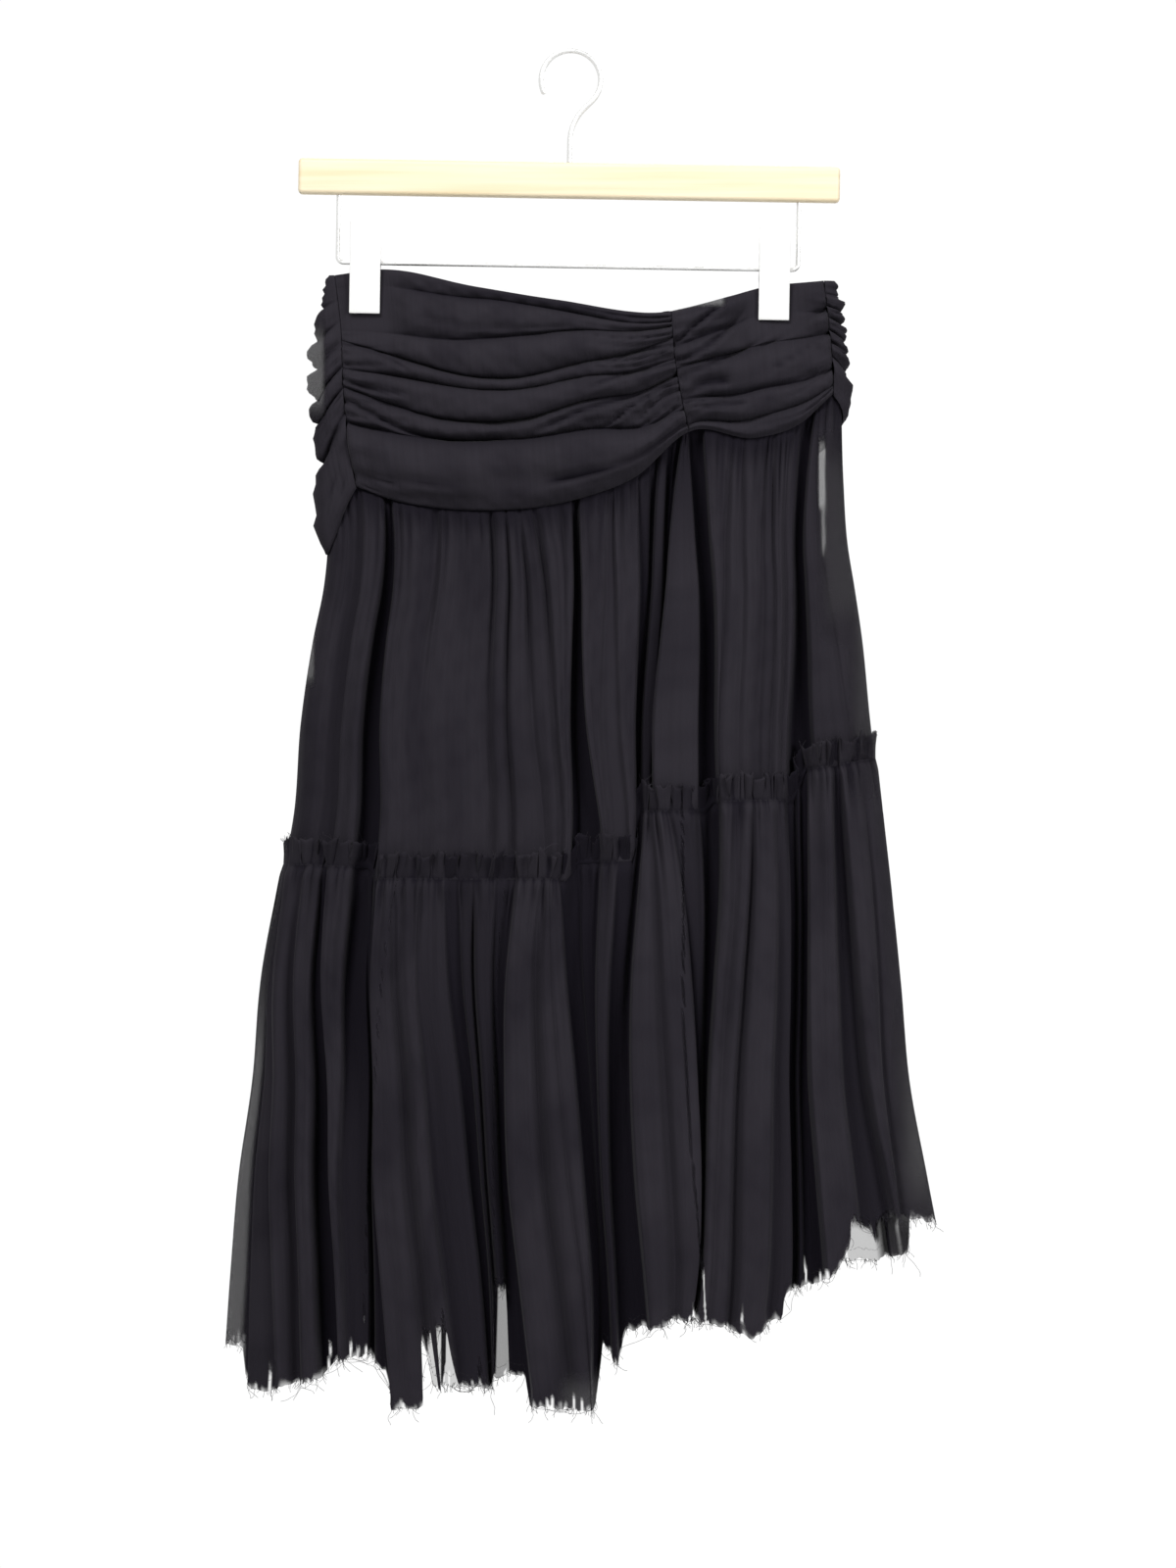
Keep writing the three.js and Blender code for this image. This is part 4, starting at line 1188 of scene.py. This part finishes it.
def chiffon():
    """Matte black crepe chiffon. Light passes it by the share in the cloth's own attribute."""
    material, nodes, links, shader = new_material("black_chiffon")
    flat = nodes.new("ShaderNodeUVMap")
    flat.uv_map = "flat_cloth"
    place = flat.outputs["UV"]
    # Slubs run down the cloth, and its crepe is finer than a millimetre.
    shade = noise_between(nodes, links, place, (300, 7, 1), 1.0, (0, 1))
    tone = blend(nodes, links, shade, CLOTH_DARK, CLOTH_PALE)
    # Painted shade: an attribute of the cloth blends it towards a blacker colour where shade falls in its
    # valleys, hollows and pinches and under the yoke, and where it lies doubled.
    painted_shade = nodes.new("ShaderNodeAttribute")
    painted_shade.attribute_name = "painted_shade"
    shaded_tone = blend(nodes, links, painted_shade.outputs["Fac"], tone, CLOTH_PAINTED_SHADE)
    links.new(shaded_tone, shader.inputs["Base Color"])
    crepe = noise_between(nodes, links, place, (1, 1, 1), 1400.0, (0, 1), 2.0)
    slub = noise_between(nodes, links, place, (420, 16, 1), 1.0, (0, 1), 4.0)
    fine = bump_from(nodes, links, crepe, 0.00012, 0.5)
    links.new(bump_from(nodes, links, slub, 0.0006, 0.35, fine), shader.inputs["Normal"])
    shader.inputs["Roughness"].default_value = 0.82
    shader.inputs["Specular IOR Level"].default_value = 0.05
    shader.inputs["Sheen Weight"].default_value = 0.02
    shader.inputs["Sheen Roughness"].default_value = 0.5
    # A sheet has a face on each side, and each passes the square root of what the sheet does.
    passed = nodes.new("ShaderNodeAttribute")
    passed.attribute_name = "passed"
    one_face = nodes.new("ShaderNodeMath")
    one_face.operation = "POWER"
    one_face.inputs[1].default_value = 0.5
    links.new(passed.outputs["Fac"], one_face.inputs[0])
    stopped = nodes.new("ShaderNodeMath")
    stopped.operation = "SUBTRACT"
    stopped.inputs[0].default_value = 1.0
    links.new(one_face.outputs["Value"], stopped.inputs[1])
    links.new(stopped.outputs["Value"], shader.inputs["Alpha"])
    return material


def pale_wood():
    """Pale planed wood, with its grain along the bar."""
    material, nodes, links, shader = new_material("pale_wood")
    place = nodes.new("ShaderNodeTexCoord").outputs["Object"]
    grain = noise_between(nodes, links, place, (5, 160, 160), 1.0, (0, 1), 5.0)
    links.new(blend(nodes, links, grain, WOOD_DARK, WOOD_PALE), shader.inputs["Base Color"])
    links.new(bump_from(nodes, links, grain, 0.0003, 0.3), shader.inputs["Normal"])
    shader.inputs["Roughness"].default_value = 0.5
    return material


def brushed_steel():
    material, nodes, links, shader = new_material("hanger_steel")
    place = nodes.new("ShaderNodeTexCoord").outputs["Object"]
    scratches = noise_between(nodes, links, place, (300, 900, 900), 1.0, (0.24, 0.42), 4.0)
    links.new(scratches, shader.inputs["Roughness"])
    shader.inputs["Base Color"].default_value = (*STEEL, 1)
    shader.inputs["Metallic"].default_value = 1.0
    return material


# ---------------------------------------------------------------- the hanger
def finish_hard(piece, material, smooth=35):
    piece.data.transform(Matrix.Rotation(HANGER_TILT, 4, "Y"))
    only(piece)
    bpy.ops.object.mode_set(mode="EDIT")
    bpy.ops.mesh.select_all(action="SELECT")
    bpy.ops.mesh.remove_doubles(threshold=0.01 * MM)
    bpy.ops.mesh.normals_make_consistent(inside=False)
    bpy.ops.object.mode_set(mode="OBJECT")
    bpy.ops.object.shade_smooth_by_angle(angle=math.radians(smooth))
    piece.data.materials.append(material)
    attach(piece, "root")
    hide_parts(piece.name.removesuffix("_model"))


def named(name):
    piece = bpy.context.object
    piece.name = name
    piece.data.name = name
    return piece


def at_origin(piece):
    only(piece)
    bpy.ops.object.transform_apply(location=True, rotation=True, scale=True)


def swept_ring(name, start, heading, radius, sides, moves):
    """A round wire from a ring of edges. Each move is a straight ("go", length), one that narrows to
    a share, ("taper", length, share), or ("turn", angle, bend radius, steps) about +Y, where y = 0."""
    bpy.ops.mesh.primitive_circle_add(vertices=sides, radius=radius * MM, fill_type="NGON")
    piece = named(name)
    way = Vector((math.cos(heading), 0, math.sin(heading)))
    piece.data.transform(Vector((0, 0, 1)).rotation_difference(way).to_matrix().to_4x4())
    at = Vector(start)
    piece.data.transform(Matrix.Translation(at * MM))
    only(piece)
    bpy.ops.object.mode_set(mode="EDIT")
    bpy.ops.mesh.select_all(action="SELECT")
    for kind, *sizes in moves:
        if kind in ("go", "taper"):
            step = way * sizes[0]
            bpy.ops.mesh.extrude_region_move(TRANSFORM_OT_translate={"value": step * MM})
            at = at + step
            if kind == "taper":
                bpy.ops.transform.resize(value=(sizes[1],) * 3, center_override=at * MM)
        else:
            angle, bend, steps = sizes
            side = Vector((way.z, 0, -way.x)) * math.copysign(1, angle)
            centre = at + side * bend
            for _ in range(steps):
                turn = Matrix.Rotation(angle / steps, 3, "Y")
                moved = centre + turn @ (at - centre)
                bpy.ops.mesh.extrude_region_move(TRANSFORM_OT_translate={"value": (moved - at) * MM})
                bpy.ops.transform.rotate(
                    value=-angle / steps, orient_axis="Y", orient_type="GLOBAL", center_override=moved * MM
                )
                way = turn @ way
                at = moved
    bpy.ops.object.mode_set(mode="OBJECT")
    return piece


def make_hook(steel):
    """The hook's wire rises from the bar, leans out and turns over the rail."""
    bend = HOOK["inside"] + HOOK["wire"]
    rise = HOOK["stem"] - (BAR["top"] + SEAM_GAP)
    eighth = math.radians(45)
    moves = (
        ("go", rise),
        ("turn", eighth, HOOK["sweep"], 8),
        ("go", HOOK["neck"]),
        ("turn", -math.radians(HOOK["mouth"] - HOOK["start"]), bend, 44),
        ("taper", 0.7, 0.85),
        ("taper", 0.6, 0.6),
    )
    start = (0, 0, BAR["top"] + SEAM_GAP)
    hook = swept_ring("hanger_hook_model", start, math.pi / 2, HOOK["wire"], 20, moves)
    finish_hard(hook, steel, smooth=60)


def make_rod(steel):
    top = BAR["top"] - BAR["height"] - SEAM_GAP
    low = BAR["top"] - BAR["height"] - ROD["drop"]
    quarter = math.pi / 2
    moves = (
        ("go", top - low - ROD["bend"]),
        ("turn", -quarter, ROD["bend"], 8),
        ("go", 2 * (ROD["reach"] - ROD["bend"])),
        ("turn", -quarter, ROD["bend"], 8),
        ("go", top - low - ROD["bend"]),
    )
    rod = swept_ring("hanger_rod_model", (-ROD["reach"], 0, top), -quarter, ROD["radius"], 18, moves)
    finish_hard(rod, steel, smooth=60)


def make_bar(wood):
    bpy.ops.mesh.primitive_cube_add(size=MM, location=(0, 0, (BAR["top"] - BAR["height"] / 2) * MM))
    bar = named("hanger_bar_model")
    bar.scale = (BAR["length"], BAR["thick"], BAR["height"])
    at_origin(bar)
    bpy.ops.object.mode_set(mode="EDIT")
    bpy.ops.mesh.select_all(action="SELECT")
    bpy.ops.mesh.bevel(offset=BAR["edge"] * MM, segments=6, affect="EDGES")
    bpy.ops.mesh.select_all(action="DESELECT")
    bpy.ops.object.mode_set(mode="OBJECT")
    finish_hard(bar, wood)


def clip_section(side):
    """The plate's faces on one side of the rod, as (y, z): its outer line up and its inner line down."""
    face = PINCHED + YOKE_STAND + 2 * SEAM_GAP
    back = face + CLIP["plate"]
    outer = [
        (back - 0.3, -CLIP["jaw"]),
        (back, -CLIP["jaw"] + 2),
        (back + CLIP["waist"], 0),
        (back + CLIP["splay"], CLIP["handle"] - 1),
        (back + CLIP["splay"] - 0.5, CLIP["handle"]),
    ]
    inner = [
        (face + CLIP["splay"], CLIP["handle"]),
        (face + CLIP["waist"], CLIP["barrel"]),
        (face + CLIP["waist"], -CLIP["barrel"]),
        (face, -CLIP["jaw"] + 2),
        (face, -CLIP["jaw"]),
    ]
    return [(side * y, z) for y, z in outer + inner]


def make_clip(name, place, enamel):
    """Two sprung plates on a barrel that slides on the rod, with the cloth between their jaws."""
    rod_height = BAR["top"] - BAR["height"] - ROD["drop"]
    at = Matrix.Translation(Vector((place - rod_height * math.sin(HANGER_TILT), 0, rod_height)) * MM)
    parts = []
    for side in (-1, 1):
        outline = clip_section(side)
        mesh = bpy.data.meshes.new(name)
        corners = [(-CLIP["width"] / 2 * MM, y * MM, z * MM) for y, z in outline]
        mesh.from_pydata(corners, [], [list(range(len(corners)))])
        plate = bpy.data.objects.new(name, mesh)
        bpy.context.collection.objects.link(plate)
        only(plate)
        bpy.ops.object.mode_set(mode="EDIT")
        bpy.ops.mesh.select_all(action="SELECT")
        bpy.ops.mesh.extrude_region_move(TRANSFORM_OT_translate={"value": (CLIP["width"] * MM, 0, 0)})
        bpy.ops.object.mode_set(mode="OBJECT")
        edges = plate.modifiers.new("edges", "BEVEL")
        edges.width = 0.5 * MM
        edges.segments = 3
        edges.limit_method = "ANGLE"
        edges.angle_limit = math.radians(30)
        apply_modifiers(plate)
        parts.append(plate)
    # The barrel is a thick ring that spins round the rod, and reaches both plates.
    length = (CLIP["width"] - 1.2) * MM
    bpy.ops.mesh.primitive_cylinder_add(
        vertices=40, radius=CLIP["barrel"] * MM, depth=length, rotation=(0, math.pi / 2, 0)
    )
    barrel = named(name)
    at_origin(barrel)
    bpy.ops.object.mode_set(mode="EDIT")
    bpy.ops.mesh.select_all(action="DESELECT")
    bpy.ops.mesh.select_face_by_sides(number=40, type="EQUAL")
    bpy.ops.mesh.inset(thickness=(CLIP["barrel"] - ROD["radius"] - 0.3) * MM)
    bpy.ops.mesh.bridge_edge_loops()
    bpy.ops.object.mode_set(mode="OBJECT")
    parts.append(barrel)
    # A web joins the barrel to both plates.
    face = PINCHED + YOKE_STAND + 2 * SEAM_GAP + CLIP["waist"]
    for side in (-1, 1):
        middle = side * (face + ROD["radius"] + 0.8) / 2
        bpy.ops.mesh.primitive_cube_add(size=MM, location=(0, middle * MM, 0))
        web = named(name)
        web.scale = (CLIP["width"] - 2.4, face - ROD["radius"] - 0.4, 4.0)
        at_origin(web)
        parts.append(web)
    bpy.ops.object.select_all(action="DESELECT")
    for part in parts:
        part.select_set(True)
    bpy.context.view_layer.objects.active = parts[0]
    bpy.ops.object.join()
    clip = bpy.context.object
    clip.name = f"{name}_model"
    clip.data.name = clip.name
    clip.data.transform(at)
    finish_hard(clip, enamel)
    return clip


# ---------------------------------------------------------------- the skirt
def upper_foot_front(place):
    at = np.full_like(place, YOKE_FOOT_HEIGHT)
    x = mix(eased(SILHOUETTE, at, "left"), eased(SILHOUETTE, at, "right"), place)
    return eased(YOKE_FOOT, x, "z")


def upper_foot_back(place):
    start, end = (float(turn) for turn in back_span(np.array(float(YOKE_FOOT_HEIGHT))))
    return eased(BACK_FOOT, (np.arccos(np.clip(1 - 2 * place, -1, 1)) - start) / (end - start), "z")


def frayed(above_hem, carrier, seed):
    """The share of light that a raw hem passes: it thins out unevenly and its threads part in slits."""
    thin = 3 + 2.5 * wander(carrier, seed, 11)
    worn = (0.3 + 0.35 * wander(carrier, seed + 1, 5)) * ease(above_hem, thin, 0)
    chance = in_cells(carrier, seed + 2, SLIT_PITCH)
    slit = 3 + 16 * in_cells(carrier, seed + 3, SLIT_PITCH) ** 2
    within = np.abs(np.mod(carrier / SLIT_PITCH, 1) - 0.5) * 2
    opened = ease(above_hem, slit, 0.5 * slit) * ease(within, 1.0, 0.3) * (chance > 0.84)
    return np.maximum(worn, opened)


def under_front_hem(points):
    """The share of light that the back's foot passes where it shows under the front's hem."""
    middle = CAMERA_AT[2] / MM
    x, z = points[..., 0] / NEARER, middle + (points[..., 2] - middle) / NEARER
    left, right = eased(SILHOUETTE, z, "left"), eased(SILHOUETTE, z, "right")
    place = (x - left) / (right - left)
    hem = read(HEM_FRONT, place, "z")
    return read(UNDER_HEM, place, "passes") * ease(z, hem + 4, hem - 1)


def make_tiers(side, name, folds, lines, sizes, seed, cloth, thread):
    """The upper and the lower tier of one side."""
    behind = side > 0
    upper_folds, lower_folds = folds
    foot_line, seam_rows, hem_rows = lines

    def seam(place):
        return read(seam_rows, place, "z")

    def upper_hem(place, _carrier):
        return seam(place) - ALLOWANCE

    def folds_end(place):
        return read(FOLDS_END, place, "z")

    def hem(place, carrier):
        ragged = 1.3 * wander(carrier, seed + 40, 13) + 0.8 * wander(carrier, seed + 41, 3.6)
        return read(hem_rows, place, "z") + ragged

    relief = seam_height(upper_folds, seed)
    upper, place, shade, _ = tier_points(
        side, upper_folds, UPPER_LEVELS, GATHERS_UPPER, sizes["upper"], UPPER_HEADER, sizes["upper_rows"],
        (foot_line, seam, upper_hem), None, relief, seed,
    )
    # Painted shadow that the yoke's foot casts on the top of the upper tier, reaching unevenly down.
    under_yoke = np.maximum(0, upper[0, :, 2] - LAP - upper[..., 2])
    reach = 18 + 20 * np.maximum(0, wander(place[:1] * GATHERED_ALONG, seed + 44, 13))
    shade = np.maximum(shade, np.exp(-((under_yoke / reach) ** 1.8)))
    upper_piece = cloth_piece(
        f"upper_tier_{name}_cloth", upper, light_passed(upper), shade, cloth, behind
    )
    lower, place, shade, above_hem = tier_points(
        side, lower_folds, LOWER_LEVELS, GATHERS_LOWER, sizes["lower"], LOWER_HEADER, sizes["lower_rows"],
        (seam, folds_end, hem), relief, None, seed + 20,
    )
    reach = mix(0.013, 0.025, ease(lower[..., 2], -640, -880))
    strip = 0.28 * ease(place, reach + 0.008, reach) * ease(lower[..., 2], -585, -730)
    passed = np.maximum(light_passed(lower), strip)
    passed = np.maximum(passed, frayed(above_hem, place * FRAYED_ALONG, seed + 43))
    if behind:
        passed = np.maximum(passed, under_front_hem(lower))
    lift = np.array((0, side * STITCH_LIFT, 0))
    seam_stitches = dashes(lower[LOWER_HEADER.index(0)], lift)
    hem_stitches = dashes(lower[-1 - HEM_ROWS[::-1].index(HEM_STITCHED)], lift)
    threads = loose_ends(lower[-1], -1, *LOOSE_AT_HEM, seed + 50)
    threads += loose_ends(lower[0], 1, *LOOSE_AT_HEADING, seed + 51)
    threads += drawn_threads(lower[-1], DRAWN_AT_HEM, seed + 52)
    carried = (
        strands(f"lower_tier_{name}_stitches", seam_stitches + hem_stitches, thread),
        strands(f"lower_tier_{name}_threads", threads, thread),
    )
    cloth_piece(f"lower_tier_{name}_cloth", lower, passed, shade, cloth, behind)


def make_skirt(clips):
    cloth = chiffon()
    thread = plain_material("black_thread", THREAD_COLOUR, 0.7, specular=0.2)
    panels = {
        "yoke_front_left": front_panel(
            RUCHES_FRONT_LEFT, SHORT_CREASES_LEFT, 220, YOKE_STEPS_LEFT, LEFT_SEAM, CENTRE_SEAM,
            ((3.4, 30), (3.2, 52)), 100,
        ),
        "yoke_front_right": front_panel(
            RUCHES_FRONT_RIGHT, SHORT_CREASES_RIGHT, 130, YOKE_STEPS_RIGHT, CENTRE_SEAM, RIGHT_SEAM,
            ((3.4, 30), (3.0, 26)), 120,
        ),
        "yoke_back": back_panel(270, YOKE_STEPS_BACK, ((3.0, 60), (3.0, 60)), 140),
    }
    for name, (points, passed, shade) in panels.items():
        out = -1 if name.startswith("yoke_front") else 1
        edges = [dashes(points[:, column], np.array((0, out * STITCH_LIFT, 0))) for column in (3, -4)]
        stitches = strands(f"{name}_stitches", edges[0] + edges[1], thread)
        cloth_piece(f"{name}_cloth", points, passed, shade, cloth, out > 0)
    front = UPPER_FOLDS_FRONT, LOWER_FOLDS_FRONT
    lines = upper_foot_front, TIER_SEAM_FRONT, HEM_FRONT
    make_tiers(-1, "front", front, lines, SIZES_FRONT, 200, cloth, thread)
    back = spread_folds(13), spread_folds(18)
    lines = upper_foot_back, TIER_SEAM_BACK, HEM_BACK
    make_tiers(1, "back", back, lines, SIZES_BACK, 300, cloth, thread)


def make_hanger():
    steel = brushed_steel()
    enamel = plain_material("clip_enamel", ENAMEL, 0.35)
    make_hook(steel)
    make_rod(steel)
    make_bar(pale_wood())
    return [make_clip(name, place, enamel) for name, place in CLIP_PLACES.items()]


make_camera()
make_lights()
make_floor()
make_skirt(clips=make_hanger())
